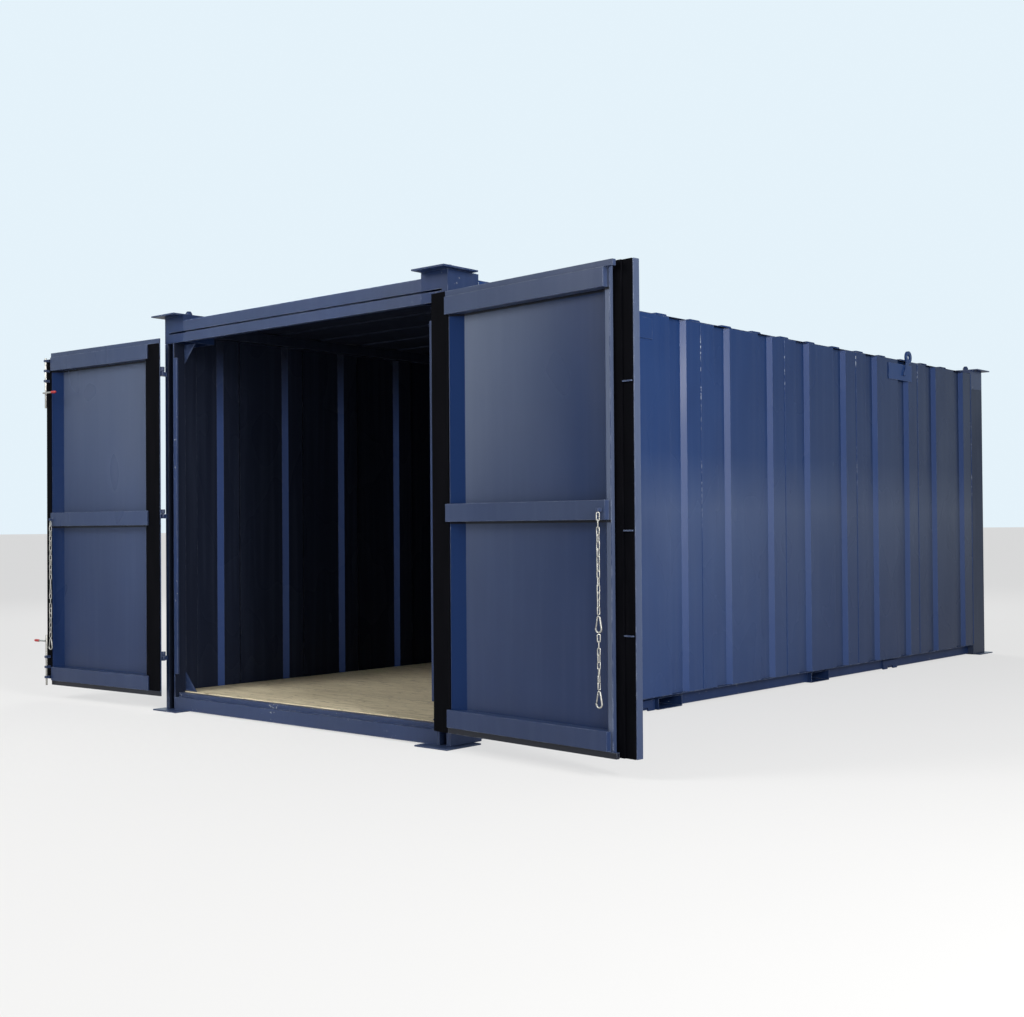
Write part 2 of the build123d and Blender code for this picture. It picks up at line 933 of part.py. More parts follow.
def grip(level, direction, length):
    """Bent handle of a shoot bolt: a stub off the rod and a bar along the leaf."""
    stub_place = Pos(0, (grip_depth - bolt_depth) / 2, level) * Rot(90, 0, 0)
    stub = stub_place * Cylinder(grip_radius, grip_depth - bolt_depth)
    elbow = Pos(0, grip_depth - bolt_depth, level) * Sphere(grip_radius)
    bar_place = Pos(direction * length / 2, grip_depth - bolt_depth, level) * Rot(0, 90, 0)
    return stub + elbow + bar_place * Cylinder(grip_radius, length)


def upper_bolt():
    top = doorway_top - bolt_retracted_gap
    towards_hinge = 1
    handle = grip(top - upper_grip_distance, towards_hinge, upper_grip_length)
    return bolt_place(rod(bolt_radius, top - bolt_length, top) + handle)


def lower_bolt():
    bottom = sill_face_top + bolt_retracted_gap
    towards_free_edge = -1
    handle = grip(bottom + lower_grip_distance, towards_free_edge, lower_grip_length)
    return bolt_place(rod(bolt_radius, bottom, bottom + bolt_length) + handle)


def chain_run(inset, top, length):
    place = Pos(side_x(inset), front_y(-chain_reach), 0)
    return place * rod(chain_radius, top - length, top)


def carabiner(inset, top):
    """Closed clip hanging in the plane of the leaf."""
    plane = Plane(
        origin=(side_x(inset), front_y(-chain_reach), top - carabiner_length / 2),
        x_dir=(1, 0, 0),
        z_dir=(0, -1, 0),
    )
    outer = RectangleRounded(carabiner_width, carabiner_length, carabiner_corner)
    inner = RectangleRounded(
        carabiner_width - 2 * carabiner_wire,
        carabiner_length - 2 * carabiner_wire,
        carabiner_corner - carabiner_wire,
    )
    return extrude(plane * (outer - inner), carabiner_wire / 2, both=True)


def swing(shape, angle):
    """Turn a closed right leaf's piece about the hinge line."""
    return Pos(hinge_x, hinge_y, 0) * Rot(0, 0, angle) * Pos(-hinge_x, -hinge_y, 0) * shape


def open_right(shape):
    return swing(shape, right_opening_angle)


def open_left(shape):
    return to_left(swing(shape, left_opening_angle))


def write_frame():
    write("corner_feet", *four_corners(corner_foot()))
    front_head = corner_head(True)
    rear_head = to_rear(corner_head(False))
    write("corner_heads", front_head, to_left(front_head), rear_head, to_left(rear_head))
    for node, post in (("front", front_post()), ("rear", rear_post())):
        write(f"{node}_right_post", post)
        write(f"{node}_left_post", to_left(post))
    write("front_header", front_header())
    write("rear_header", rear_header())
    write("front_sill", front_sill())
    write("rear_sill", rear_sill())
    write("stop_strips", stop_strip(), to_left(stop_strip()))
    low = gusset(floor_top, floor_top + gusset_height)
    high = gusset(doorway_top - gusset_top_gap, doorway_top - gusset_top_gap - gusset_height)
    write("doorway_gussets", low, high, to_left(low), to_left(high))
    lugs = [hinge_lug(level) for level in hinge_levels]
    write("right_hinge_lugs", *lugs)
    write("left_hinge_lugs", *[to_left(lug) for lug in lugs])


def write_box():
    write("right_wall", side_wall())
    write("left_wall", to_left(side_wall()))
    write("rear_wall", rear_wall())
    write("roof", roof())
    write("top_rails", top_rail(), to_left(top_rail()))
    write("right_bottom_rail", bottom_rail())
    write("left_bottom_rail", to_left(bottom_rail()))
    write("fork_pockets", *[fork_pocket(depth) for depth in pocket_depths])
    write("cross_members", *cross_members())
    write("floor", floor_board())
    write("rail_feet", *four_corners(rail_foot()))
    write("lifting_eyes", *four_corners(lifting_eye()))


def write_right_door():
    rail_end = half_width - right_rail_end
    chain_inset = half_width - right_chain_x
    flat_end = half_width - right_flat_end
    bars = door_rails(right_edge(), door_rail_inset, flat_end, rail_end, chain_inset)
    write("right_door_leaf", open_right(leaf_sheet(right_edge())))
    write("right_door_rails", *[open_right(bar) for bar in bars])
    write("right_hinge_seal", open_right(hinge_seal((leaf_bottom, leaf_top), full_rail_levels())))
    write("right_hinge_knuckles", *[open_right(door_knuckle(level)) for level in hinge_levels])
    write("right_cover_strip", open_right(cover_strip()))
    write("right_cover_seal", open_right(cover_seal()))
    write("right_cover_plates", *[open_right(cover_plate(share)) for share in cover_plate_level_shares])
    upper_top = middle_rail_level - chain_eye_size / 2
    first_clip_top = upper_top - right_upper_chain_length
    lower_top = first_clip_top - carabiner_length
    second_clip_top = lower_top - right_lower_chain_length
    write("right_upper_chain", open_right(chain_run(chain_inset, upper_top, right_upper_chain_length)))
    write("right_lower_chain", open_right(chain_run(chain_inset, lower_top, right_lower_chain_length)))
    clips = [carabiner(chain_inset, top) for top in (first_clip_top, second_clip_top)]
    write("right_carabiners", *[open_right(clip) for clip in clips])


def write_left_door():
    rail_end = half_width + left_rail_end
    chain_inset = half_width + left_chain_x
    flat_end = half_width + left_flat_end
    bars = door_rails(left_edge(), leaf_edge_inset, flat_end, rail_end, chain_inset)
    write("left_door_leaf", open_left(left_leaf()))
    write("left_door_rails", *[open_left(bar) for bar in bars])
    write("left_hinge_seal", open_left(hinge_seal(seal_levels(), rail_levels())))
    write("left_free_seal", open_left(free_seal()))
    write("left_hinge_knuckles", *[open_left(door_knuckle(level)) for level in hinge_levels])
    write("left_bolt_guides", *[open_left(bolt_guide(level)) for level in guide_levels()])
    write("upper_bolt", open_left(upper_bolt()))
    write("lower_bolt", open_left(lower_bolt()))
    chain_top = middle_rail_level - chain_eye_size / 2
    write("left_chain", open_left(chain_run(chain_inset, chain_top, left_chain_length)))
    write("left_carabiner", open_left(carabiner(chain_inset, chain_top - left_chain_length)))


os.makedirs("parts", exist_ok=True)
write_frame()
write_box()
write_right_door()
write_left_door()
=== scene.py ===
"""Looks of a welded steel site storage container whose two doors stand open."""
import math

import bmesh
import bpy
from mathutils import Matrix, Vector


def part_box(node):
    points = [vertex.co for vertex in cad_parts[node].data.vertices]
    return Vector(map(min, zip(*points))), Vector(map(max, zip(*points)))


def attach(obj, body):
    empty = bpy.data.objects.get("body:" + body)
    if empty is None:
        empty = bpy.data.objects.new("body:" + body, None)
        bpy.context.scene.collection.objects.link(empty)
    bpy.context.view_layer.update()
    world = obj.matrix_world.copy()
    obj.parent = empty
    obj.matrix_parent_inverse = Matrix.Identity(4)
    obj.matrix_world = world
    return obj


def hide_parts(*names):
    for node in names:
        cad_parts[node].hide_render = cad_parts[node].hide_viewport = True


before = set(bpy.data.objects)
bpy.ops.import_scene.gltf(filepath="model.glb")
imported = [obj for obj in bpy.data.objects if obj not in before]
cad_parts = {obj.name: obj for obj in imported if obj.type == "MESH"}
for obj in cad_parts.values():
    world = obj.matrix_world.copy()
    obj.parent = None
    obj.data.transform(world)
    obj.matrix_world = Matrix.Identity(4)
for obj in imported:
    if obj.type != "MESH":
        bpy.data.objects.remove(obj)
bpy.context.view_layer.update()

# Camera
CAMERA_PLACE = (5.515, -7.596, 1.004)
CAMERA_YAW = 41.271
CAMERA_PITCH = 0.782
CAMERA_ROLL = -0.418
CAMERA_LENS = 49.05

# Light and stage
SKY_SEEN = (0.78, 0.89, 0.96, 1.0)
SKY_LIGHT = (0.93, 0.96, 1.0, 1.0)
SKY_STRENGTH = 0.32
LAMPS = (
    # name, place, aim, size, power, spread
    ("key", (10.5, -4.5, 6.0), (1.1, 0.2, 1.0), 5.0, 700.0, 180.0),
    ("front", (-2.5, -9.0, 5.6), (0.0, -3.0, 0.9), 4.0, 450.0, 180.0),
    ("back", (-7.5, 6.5, 6.0), (0.0, 0.0, 1.0), 6.0, 450.0, 180.0),
    ("low", (9.6, -6.6, 1.7), (1.1, -1.6, 1.1), 4.0, 330.0, 180.0),
    ("deep", (-0.3, -11.0, 1.2), (-0.3, 0.0, 1.0), 1.0, 9.0, 26.0),
    ("gleam", (7.15, -4.8, 2.7), (1.1, -1.1, 1.7), 0.6, 150.0, 180.0),
)
LAMP_COLOUR = (1.0, 0.985, 0.96)
FLOOR_HALF = 400.0
FLOOR_SEEN = (0.87, 0.87, 0.87, 1.0)
FLOOR_SEEN_SHARE = 0.7
FLOOR_COLOUR = (0.78, 0.78, 0.775, 1.0)
FLOOR_COLOUR_WORN = (0.74, 0.74, 0.735, 1.0)

# Frame sizes that the details repeat
HALF_LENGTH = 3.0
HALF_WIDTH = 1.1
HINGE_INSET = 0.030
HINGE_REACH = 0.041
RIGHT_OPEN = 174.5
LEFT_OPEN = -176.6
POST_DEPTH = 0.208
WALL_SHEETS = 6
WALL_BOTTOM = 0.080
WALL_TOP = 2.161
LEAF_FLANGE = 0.023
EDGE_FLAT = 0.026
DOOR_RAIL = 0.080
MIDDLE_RAIL_RISE = 0.988
# How far the painted shadow reaches under a door rail
SHADE_BAND_DROP = 0.010
BAND_BLUR = 0.001

# Chains and carabiners
CHAIN_DIAMETER = 0.012
LINK_WIRE = 0.0047
LINK_WIDTH = 0.0165
LINK_PITCH = 0.0285
LINK_TWISTS = (0.0, 0.16, -0.1, 0.07, -0.18, 0.12)
LINK_ARC_STEPS = 8
HOOK_DIAMETERS = 6
ROUTE_STEPS = 24
TUBE_SIDES = 8
CLIP_WIRE = 0.0075
CLIP_GATE_WIRE = 0.0055
CLIP_TOP_WIDTH_SHARE = 0.42
CLIP_WIDTH = 0.038
CLIP_GATE_SHARES = (-0.02, 0.25, 0.5, 0.75, 0.97)
CLIP_PIN_SHARE = 0.62

# Shoot bolt grips
BOLT_X = -0.036
GRIP_DEPTH = 0.027
UPPER_GRIP_LENGTH = 0.120
LOWER_GRIP_LENGTH = 0.088
UPPER_GRIP_LEVEL = 1.830
LOWER_GRIP_LEVEL = 0.347
SLEEVE_LENGTH = 0.038
SLEEVE_RADIUS = 0.0078
SLEEVE_NOSE = 0.006
SLEEVE_PROFILE = (
    # step from the handle's end, radius as a share
    (-SLEEVE_LENGTH, 0.9),
    (-SLEEVE_LENGTH + 0.002, 1.0),
    (-SLEEVE_LENGTH / 2, 0.97),
    (-0.004, 1.0),
    (SLEEVE_NOSE * 0.5, 0.86),
    (SLEEVE_NOSE * 0.9, 0.5),
    (SLEEVE_NOSE, 0.12),
)

# Welds and fasteners
SEAM_STEP = 0.006
SEAM_RADIUS = 0.0025
SEAM_RIPPLE = 0.0004
SEAM_OUT = 0.0005
SEAM_END = 0.006
SEAM_WAVES = ((0.6, 1.9, 1), (0.4, 0.43, 2))
DOME_RIMS = ((0.0, 1.0), (0.55, 0.92), (0.9, 0.6))
SCREW_RADIUS = 0.0048
SCREW_HEIGHT = 0.0012
BOARD_LENGTH = 1.22
SCREW_EDGE = 0.035
SCREW_PITCH = 0.30
BOARD_JOINTS = (-2, -1, 0, 1, 2)

# Colours
WALL_NAVY = ((0.0055, 0.024, 0.098, 1.0), (0.0078, 0.030, 0.114, 1.0))
# Painted shade: the walls and rear posts darken towards the rear
FAR_SHADE_NAVY = (0.0035, 0.0075, 0.024, 1.0)
# Painted highlight on the wall flanks that face the front
FLANK_HIGHLIGHT_NAVY = (0.034, 0.066, 0.190, 1.0)
DOOR_NAVY = ((0.0065, 0.0172, 0.060, 1.0), (0.0080, 0.0205, 0.070, 1.0))
DOOR_SHADE = (0.0050, 0.0155, 0.058, 1.0)
FRAME_NAVY = ((0.0055, 0.0160, 0.058, 1.0), (0.0075, 0.0205, 0.074, 1.0))
# Painted shade on the faces inside the container and on the posts' inner faces
INNER_SHADE_NAVY = (0.0085, 0.0115, 0.023, 1.0)
INNER_SHADE_NAVY_CLOUD = (0.0100, 0.0140, 0.028, 1.0)
# Painted highlight on the inner flanks that face the front
INNER_FLANK_HIGHLIGHT = (0.030, 0.055, 0.160, 1.0)
NAVY_WORN = (0.085, 0.11, 0.18, 1.0)
# Worn edges, and the painted highlight along the right door's free flange
EDGE_WEAR_AND_HIGHLIGHT = (0.20, 0.235, 0.31, 1.0)
# Colour of the dust, also used for painted sheen on the walls and doors
DUST_AND_SHEEN = (0.19, 0.22, 0.275, 1.0)
PRIMER = (0.42, 0.43, 0.44, 1.0)
# Painted shadow under the door rails and painted shade on the doors' bottom flat
SHADOW_BAND_BLACK = (0.0045, 0.0045, 0.006, 1.0)
RUBBER = (0.0012, 0.0013, 0.0022, 1.0)
RUBBER_DUST = (0.0042, 0.0042, 0.0058, 1.0)
PLY = (0.66, 0.585, 0.42, 1.0)
PLY_DARK = (0.36, 0.305, 0.20, 1.0)
PLY_STAIN = (0.13, 0.105, 0.066, 1.0)
ZINC = (0.43, 0.42, 0.39, 1.0)
ZINC_DULL = (0.27, 0.265, 0.25, 1.0)
WELD_PALE = (0.36, 0.40, 0.47, 1.0)
GRIP_RED = (0.36, 0.012, 0.012, 1.0)
GRIP_RED_WORN = (0.20, 0.008, 0.009, 1.0)

# Levels at which each paint's film is set, from the ground up: dust, and on the walls and doors painted
# sheen as well
FILM_LEVELS = (0.0, 0.35, 1.1, 1.42, 2.2)
WALL_DUST_AND_SHEEN = (0.10, 0.12, 0.22, 0.045, 0.0)
FRAME_FILM = (0.08, 0.05, 0.05, 0.06, 0.10)
BASE_FILM = (0.02, 0.02, 0.02, 0.02, 0.02)
HEAD_FILM = (0.12, 0.10, 0.06, 0.02, 0.015)
DOOR_DUST_AND_SHEEN = (0.04, 0.05, 0.20, 0.33, 0.54)
BAR_DUST_AND_SHEEN = (0.05, 0.07, 0.11, 0.13, 0.14)
STRIP_DUST_AND_SHEEN = (0.10, 0.15, 0.22, 0.26, 0.26)

# Two distances and the shares there: how a door's film of dust and painted sheen thins outwards, how painted
# shade darkens the colour rearwards
RIGHT_THINNING = (1.25, 1.95, 1.0, 0.05)
LEFT_THINNING = (1.25, 2.15, 0.68, 0.33)
# Painted shade along the walls towards the rear
WALL_REAR_SHADE = (-1.2, 3.0, 0.0, 0.8)

# Paint: noise scales, stretches along the axes, and ranges from noise to share
FILM_PATCH_STRETCH = (2.0, 2.0, 0.6)
FILM_PATCH_SCALE = 1.3
FILM_PATCH_RANGE = (0.25, 0.75, 0.65, 1.0)
FACING_RANGE = (0.25, 0.45)
CLOUD_SCALE = 1.7
CLOUD_RANGE = (0.35, 0.68)
RUN_STRETCH = (9.0, 9.0, 0.35)
RUN_SCALE = 3.0
RUN_RANGE = (0.45, 0.85, 0.0, 0.07)
# Painted highlight along the right door's free flange
HIGHLIGHT_BLUR = 0.002
HIGHLIGHT_SHARE = 0.3
# How strongly the painted highlight lies on flanks that face the front
FLANK_HIGHLIGHT_SHARE = 0.45
# Levels between which the inner flanks' painted highlight fades out upwards
INNER_HIGHLIGHT_LEVELS = (2.05, 1.6)
DIM_SPECULAR = 0.07
# How black the bands of painted shadow are
SHADE_BAND_SHARE = 0.9
RUBBED_SCALE = 23.0
RUBBED_RANGE = (0.42, 0.66, 0.0, 0.75)
EDGE_RADIUS = 0.005
EDGE_RANGE = (0.80, 0.985)
FLECK_SCALE = 58.0
FLECK_RANGE = (0.735, 0.745)
FLECK_SHARE = 0.7
FLECK_AREA_SCALE = 2.3
FLECK_AREA_RANGE = (0.55, 0.65)
FRAME_GLOSS = 0.34
DOOR_GLOSS = 0.3
WALL_GLOSS = 0.25
ROOF_GLOSS = 0.6
PAINT_SPECULAR = 0.25
GLOSS_STRETCH = (1.0, 1.0, 0.5)
GLOSS_SCALE = 4.0
GLOSS_BELOW = 0.1
GLOSS_ABOVE = 0.14
WORN_ROUGHNESS = 0.6
PEEL_SCALE = 140.0
PEEL_BUMP = (0.03, 0.0006)
WAVE_SCALE = 2.6
WAVE_BUMP = (0.12, 0.006)

# Weld beads: where they show lighter dashes
DASH_SCALE = 46.0
DASH_RANGE = (0.50, 0.56)
PALE_DASH_STRETCH = (0.2, 1.0, 1.0)
PALE_DASH_SCALE = 3.1
PALE_DASH_RANGE = (0.48, 0.60)
PALE_DASH_LEVELS = (0.9, 1.7)
WELD_ROUGHNESS = (0.35, 0.6)
WELD_GRAIN_SCALE = 300.0
WELD_GRAIN_BUMP = (0.3, 0.001)
WELD_SPECULAR = 0.2

# Rubber
RUBBER_STRETCH = (8.0, 8.0, 1.2)
RUBBER_SCALE = 4.0
RUBBER_DUST_SHARE = 0.7
RUBBER_DUST_RANGE = (0.45, 0.8)
RUBBER_ROUGHNESS = (0.62, 0.85)
RUBBER_GRAIN_SCALE = 420.0
RUBBER_GRAIN_BUMP = (0.15, 0.0005)
RUBBER_SPECULAR = 0.02

# Plywood
JOINT_RANGE = (0.003, 0.001)
JOINT_BUMP = (-0.6, 0.002)
BLOTCH_STRETCH = (0.7, 2.2, 1.0)
BLOTCH_SCALE = 2.0
BLOTCH_RANGE = (0.45, 0.78, 0.0, 0.4)
GRAIN_STRETCH = (1.4, 26.0, 26.0)
GRAIN_SCALE = 3.2
GRAIN_RANGE = (0.40, 0.74)
GRAIN_ROUGHNESS = (0.3, 0.8, 0.55, 0.8)
GRAIN_BUMP = (0.2, 0.0012)
DAB_STRETCH = (3.0, 9.0, 9.0)
DAB_SCALE = 5.0
DAB_RANGE = (0.57, 0.70, 0.0, 0.8)
PLY_SPECULAR = 0.3
WOOD_COARSENESS = 0.62

# Zinc and red plastic
ZINC_SCALE = 55.0
ZINC_RANGE = (0.38, 0.7)
ZINC_ROUGHNESS = (0.3, 0.52)
SPANGLE_SCALE = 900.0
SPANGLE_BUMP = (0.1, 0.0004)
ZINC_METAL = 0.85
PLASTIC_SCALE = 70.0
PLASTIC_RANGE = (0.45, 0.75)
PLASTIC_ROUGHNESS = (0.38, 0.6)
PLASTIC_GRAIN_SCALE = 700.0
PLASTIC_GRAIN_BUMP = (0.12, 0.0004)

# Stage floor
FLOOR_CLOUD_SCALE = 0.6
FLOOR_ROUGHNESS = 0.9
FLOOR_SPECULAR = 0.1

# Roundings of the CAD nodes' edges
WELD_REACH = 0.00002
BEVEL_ANGLE = 30.0
BAR_ROUNDING = 0.003
DOOR_BAR_ROUNDING = 0.002
SHEET_ROUNDING = 0.0012
SMALL_ROUNDING = 0.001


# Shader nodes

def node(tree, kind, values=None, links=None, **settings):
    """One shader node, with its settings, its fixed inputs and its linked inputs."""
    item = tree.nodes.new(kind)
    for key, value in settings.items():
        setattr(item, key, value)
    for key, value in (values or {}).items():
        item.inputs[key].default_value = value
    for key, socket in (links or {}).items():
        tree.links.new(socket, item.inputs[key])
    return item


def new_material(name):
    """A material, its node tree and its shader."""
    material = bpy.data.materials.new(name)
    material.use_nodes = True
    tree = material.node_tree
    return material, tree, tree.nodes["Principled BSDF"]


def place(tree, scale=(1.0, 1.0, 1.0)):
    """Coordinates that stay with the piece, stretched by a scale."""
    source = node(tree, "ShaderNodeTexCoord")
    mapping = node(tree, "ShaderNodeMapping", {"Scale": scale}, {"Vector": source.outputs["Object"]})
    return mapping.outputs["Vector"]


def noise(tree, vector, scale, detail=4.0, roughness=0.55):
    item = node(
        tree,
        "ShaderNodeTexNoise",
        {"Scale": scale, "Detail": detail, "Roughness": roughness},
        {"Vector": vector},
    )
    return item.outputs["Fac"]


def spread(tree, value, low, high, new_low=0.0, new_high=1.0):
    """A value mapped from one range to another and held inside it."""
    item = node(
        tree,
        "ShaderNodeMapRange",
        {"From Min": low, "From Max": high, "To Min": new_low, "To Max": new_high},
        {"Value": value},
    )
    return item.outputs["Result"]


def times(tree, first, second):
    item = node(tree, "ShaderNodeMath", None, {0: first, 1: second}, operation="MULTIPLY")
    return item.outputs["Value"]


def larger(tree, first, second):
    item = node(tree, "ShaderNodeMath", None, {0: first, 1: second}, operation="MAXIMUM")
    return item.outputs["Value"]


def mixed(tree, share, first, second):
    """Colour between two, where each is a fixed colour or a socket."""
    item = node(tree, "ShaderNodeMix", data_type="RGBA")
    tree.links.new(share, item.inputs["Factor"])
    for key, colour in ((6, first), (7, second)):
        if isinstance(colour, tuple):
            item.inputs[key].default_value = colour
        else:
            tree.links.new(colour, item.inputs[key])
    return item.outputs[2]


def bumped(tree, height, strength, distance, normal=None):
    links = {"Height": height}
    if normal is not None:
        links["Normal"] = normal
    item = node(tree, "ShaderNodeBump", {"Strength": strength, "Distance": distance}, links)
    return item.outputs["Normal"]


def height_of(tree):
    """Level above the ground at rest."""
    parts = node(tree, "ShaderNodeSeparateXYZ", None, {"Vector": place(tree)})
    return parts.outputs["Z"]


def edges(tree, radius, low, high):
    """Mask of the edges, from how far a rounded normal leaves the true one."""
    rounded = node(tree, "ShaderNodeBevel", {"Radius": radius}, samples=4)
    true = node(tree, "ShaderNodeNewGeometry")
    dot = node(
        tree,
        "ShaderNodeVectorMath",
        None,
        {0: rounded.outputs["Normal"], 1: true.outputs["Normal"]},
        operation="DOT_PRODUCT",
    )
    return spread(tree, dot.outputs["Value"], high, low)


def film(tree, levels, shares):
    """How much dust, and on the walls and doors painted sheen, lies on the paint: a share at each of a few
    levels, in soft patches.
    """
    ramp = node(tree, "ShaderNodeValToRGB")
    stops = ramp.color_ramp.elements
    stops.remove(stops[1])
    top = levels[-1]
    for level, share in zip(levels, shares):
        stop = stops[0] if level == levels[0] else stops.new(level / top)
        stop.color = (share, share, share, 1.0)
    tree.links.new(spread(tree, height_of(tree), 0.0, top), ramp.inputs["Fac"])
    patches = noise(tree, place(tree, FILM_PATCH_STRETCH), FILM_PATCH_SCALE)
    patch = spread(tree, patches, *FILM_PATCH_RANGE)
    return times(tree, ramp.outputs["Color"], patch)


def facing(tree, direction):
    """Mask of the faces that look along a direction."""
    source = node(tree, "ShaderNodeTexCoord")
    dot = node(
        tree,
        "ShaderNodeVectorMath",
        {1: direction},
        {0: source.outputs["Normal"]},
        operation="DOT_PRODUCT",
    )
    return spread(tree, dot.outputs["Value"], *FACING_RANGE)


def level_band(tree, low, high):
    """Mask of what lies between two levels."""
    above = spread(tree, height_of(tree), low - BAND_BLUR, low)
    return times(tree, above, spread(tree, height_of(tree), high + BAND_BLUR, high, 0.0, SHADE_BAND_SHARE))


def distance_along(tree):
    """Distance along the container, from its middle to the rear."""
    parts = node(tree, "ShaderNodeSeparateXYZ", None, {"Vector": place(tree)})
    return parts.outputs["Y"]


def distance_out(tree):
    """Distance from the container's middle plane."""
    parts = node(tree, "ShaderNodeSeparateXYZ", None, {"Vector": place(tree)})
    return node(tree, "ShaderNodeMath", None, {0: parts.outputs["X"]}, operation="ABSOLUTE").outputs["Value"]


def paint(
    name,
    navy,
    shares,
    chips=0.0,
    gloss=FRAME_GLOSS,
    specular=PAINT_SPECULAR,
    inward=None,
    highlight_facing=None,
    shaded=None,
    thinning=None,
    rear_shade=None,
    highlight_from=None,
    shade_bands=(),
):
    """Navy gloss paint: cloudy colour, runs, a film of dust and painted sheen, worn edges and chips.

    inward is where a dark side with painted shade faces, highlight_facing where a paler side with a painted
    highlight does (on the inward side that highlight fades out at the top) and shaded where a deep blue
    side with painted shade does. The film thins out over thinning, painted shade darkens the colour along
    the container over rear_shade, past highlight_from the paint has a painted highlight, and shade_bands
    are level bands of black painted shadow.
    """
    material, tree, shader = new_material(name)
    cloud = spread(tree, noise(tree, place(tree), CLOUD_SCALE), *CLOUD_RANGE)
    colour = mixed(tree, cloud, *navy)
    # Painted shade: darker towards the rear
    if rear_shade is not None:
        colour = mixed(tree, spread(tree, distance_along(tree), *rear_shade), colour, FAR_SHADE_NAVY)
    runs = spread(tree, noise(tree, place(tree, RUN_STRETCH), RUN_SCALE, 1.0), *RUN_RANGE)
    colour = mixed(tree, runs, colour, NAVY_WORN)
    # Dust, and on the walls and doors painted sheen, by level
    dust = film(tree, FILM_LEVELS, shares)
    if thinning is not None:
        dust = times(tree, dust, spread(tree, distance_out(tree), *thinning))
    colour = mixed(tree, dust, colour, DUST_AND_SHEEN)
    # Painted highlight along the free flange
    if highlight_from is not None:
        highlight = spread(tree, distance_out(tree), highlight_from - HIGHLIGHT_BLUR, highlight_from, 0.0, HIGHLIGHT_SHARE)
        colour = mixed(tree, highlight, colour, EDGE_WEAR_AND_HIGHLIGHT)
    # Painted highlight on the faces that look one way
    if highlight_facing is not None:
        highlight = spread(tree, facing(tree, highlight_facing), 0.0, 1.0, 0.0, FLANK_HIGHLIGHT_SHARE)
        colour = mixed(tree, highlight, colour, FLANK_HIGHLIGHT_NAVY)
    # Painted shade on the faces that look inward
    if inward is not None:
        toned = mixed(tree, runs, INNER_SHADE_NAVY, NAVY_WORN)
        # On that side, a painted highlight on the flanks that face the front, fading out towards the top
        if highlight_facing is not None:
            low = spread(tree, height_of(tree), *INNER_HIGHLIGHT_LEVELS)
            toned = mixed(tree, times(tree, facing(tree, highlight_facing), low), toned, INNER_FLANK_HIGHLIGHT)
        colour = mixed(tree, facing(tree, inward), colour, toned)
    shader.inputs["Specular IOR Level"].default_value = specular
    dim = inward if shaded is None else shaded
    if dim is not None:
        shine = spread(tree, facing(tree, dim), 0.0, 1.0, specular, DIM_SPECULAR)
        tree.links.new(shine, shader.inputs["Specular IOR Level"])
    # Painted shade, deep blue, on the faces that look one way
    if shaded is not None:
        colour = mixed(tree, facing(tree, shaded), colour, DOOR_SHADE)
    # Black bands of painted shadow at given levels
    for low, high in shade_bands:
        colour = mixed(tree, level_band(tree, low, high), colour, SHADOW_BAND_BLACK)
    rubbed = spread(tree, noise(tree, place(tree), RUBBED_SCALE, 6.0), *RUBBED_RANGE)
    worn = times(tree, edges(tree, EDGE_RADIUS, *EDGE_RANGE), rubbed)
    colour = mixed(tree, worn, colour, EDGE_WEAR_AND_HIGHLIGHT)
    if chips > 0.0:
        start, end = (limit - chips for limit in FLECK_RANGE)
        flecks = spread(tree, noise(tree, place(tree), FLECK_SCALE, 2.0), start, end, 0.0, FLECK_SHARE)
        near = spread(tree, noise(tree, place(tree), FLECK_AREA_SCALE, 2.0), *FLECK_AREA_RANGE)
        colour = mixed(tree, times(tree, flecks, near), colour, PRIMER)
    tree.links.new(colour, shader.inputs["Base Color"])
    patchy = noise(tree, place(tree, GLOSS_STRETCH), GLOSS_SCALE, 1.0)
    dull = spread(tree, patchy, 0.0, 1.0, gloss - GLOSS_BELOW, gloss + GLOSS_ABOVE)
    bare_metal = spread(tree, worn, 0.0, 1.0, 0.0, WORN_ROUGHNESS)
    tree.links.new(larger(tree, dull, bare_metal), shader.inputs["Roughness"])
    peel = bumped(tree, noise(tree, place(tree), PEEL_SCALE, 2.0), *PEEL_BUMP)
    wave = bumped(tree, noise(tree, place(tree), WAVE_SCALE, 1.0), *WAVE_BUMP, peel)
    tree.links.new(wave, shader.inputs["Normal"])
    return material


def weld_paint():
    """Painted weld bead with lighter short dashes, mostly near the top."""
    material, tree, shader = new_material("weld_paint")
    dash = spread(tree, noise(tree, place(tree), DASH_SCALE, 2.0), *DASH_RANGE)
    stretch = spread(tree, noise(tree, place(tree, PALE_DASH_STRETCH), PALE_DASH_SCALE, 2.0), *PALE_DASH_RANGE)
    toned = times(tree, dash, times(tree, stretch, spread(tree, height_of(tree), *PALE_DASH_LEVELS)))
    tree.links.new(mixed(tree, toned, WALL_NAVY[1], WELD_PALE), shader.inputs["Base Color"])
    tree.links.new(spread(tree, toned, 0.0, 1.0, *WELD_ROUGHNESS), shader.inputs["Roughness"])
    grain = noise(tree, place(tree), WELD_GRAIN_SCALE, 3.0)
    tree.links.new(bumped(tree, grain, *WELD_GRAIN_BUMP), shader.inputs["Normal"])
    shader.inputs["Specular IOR Level"].default_value = WELD_SPECULAR
    return material


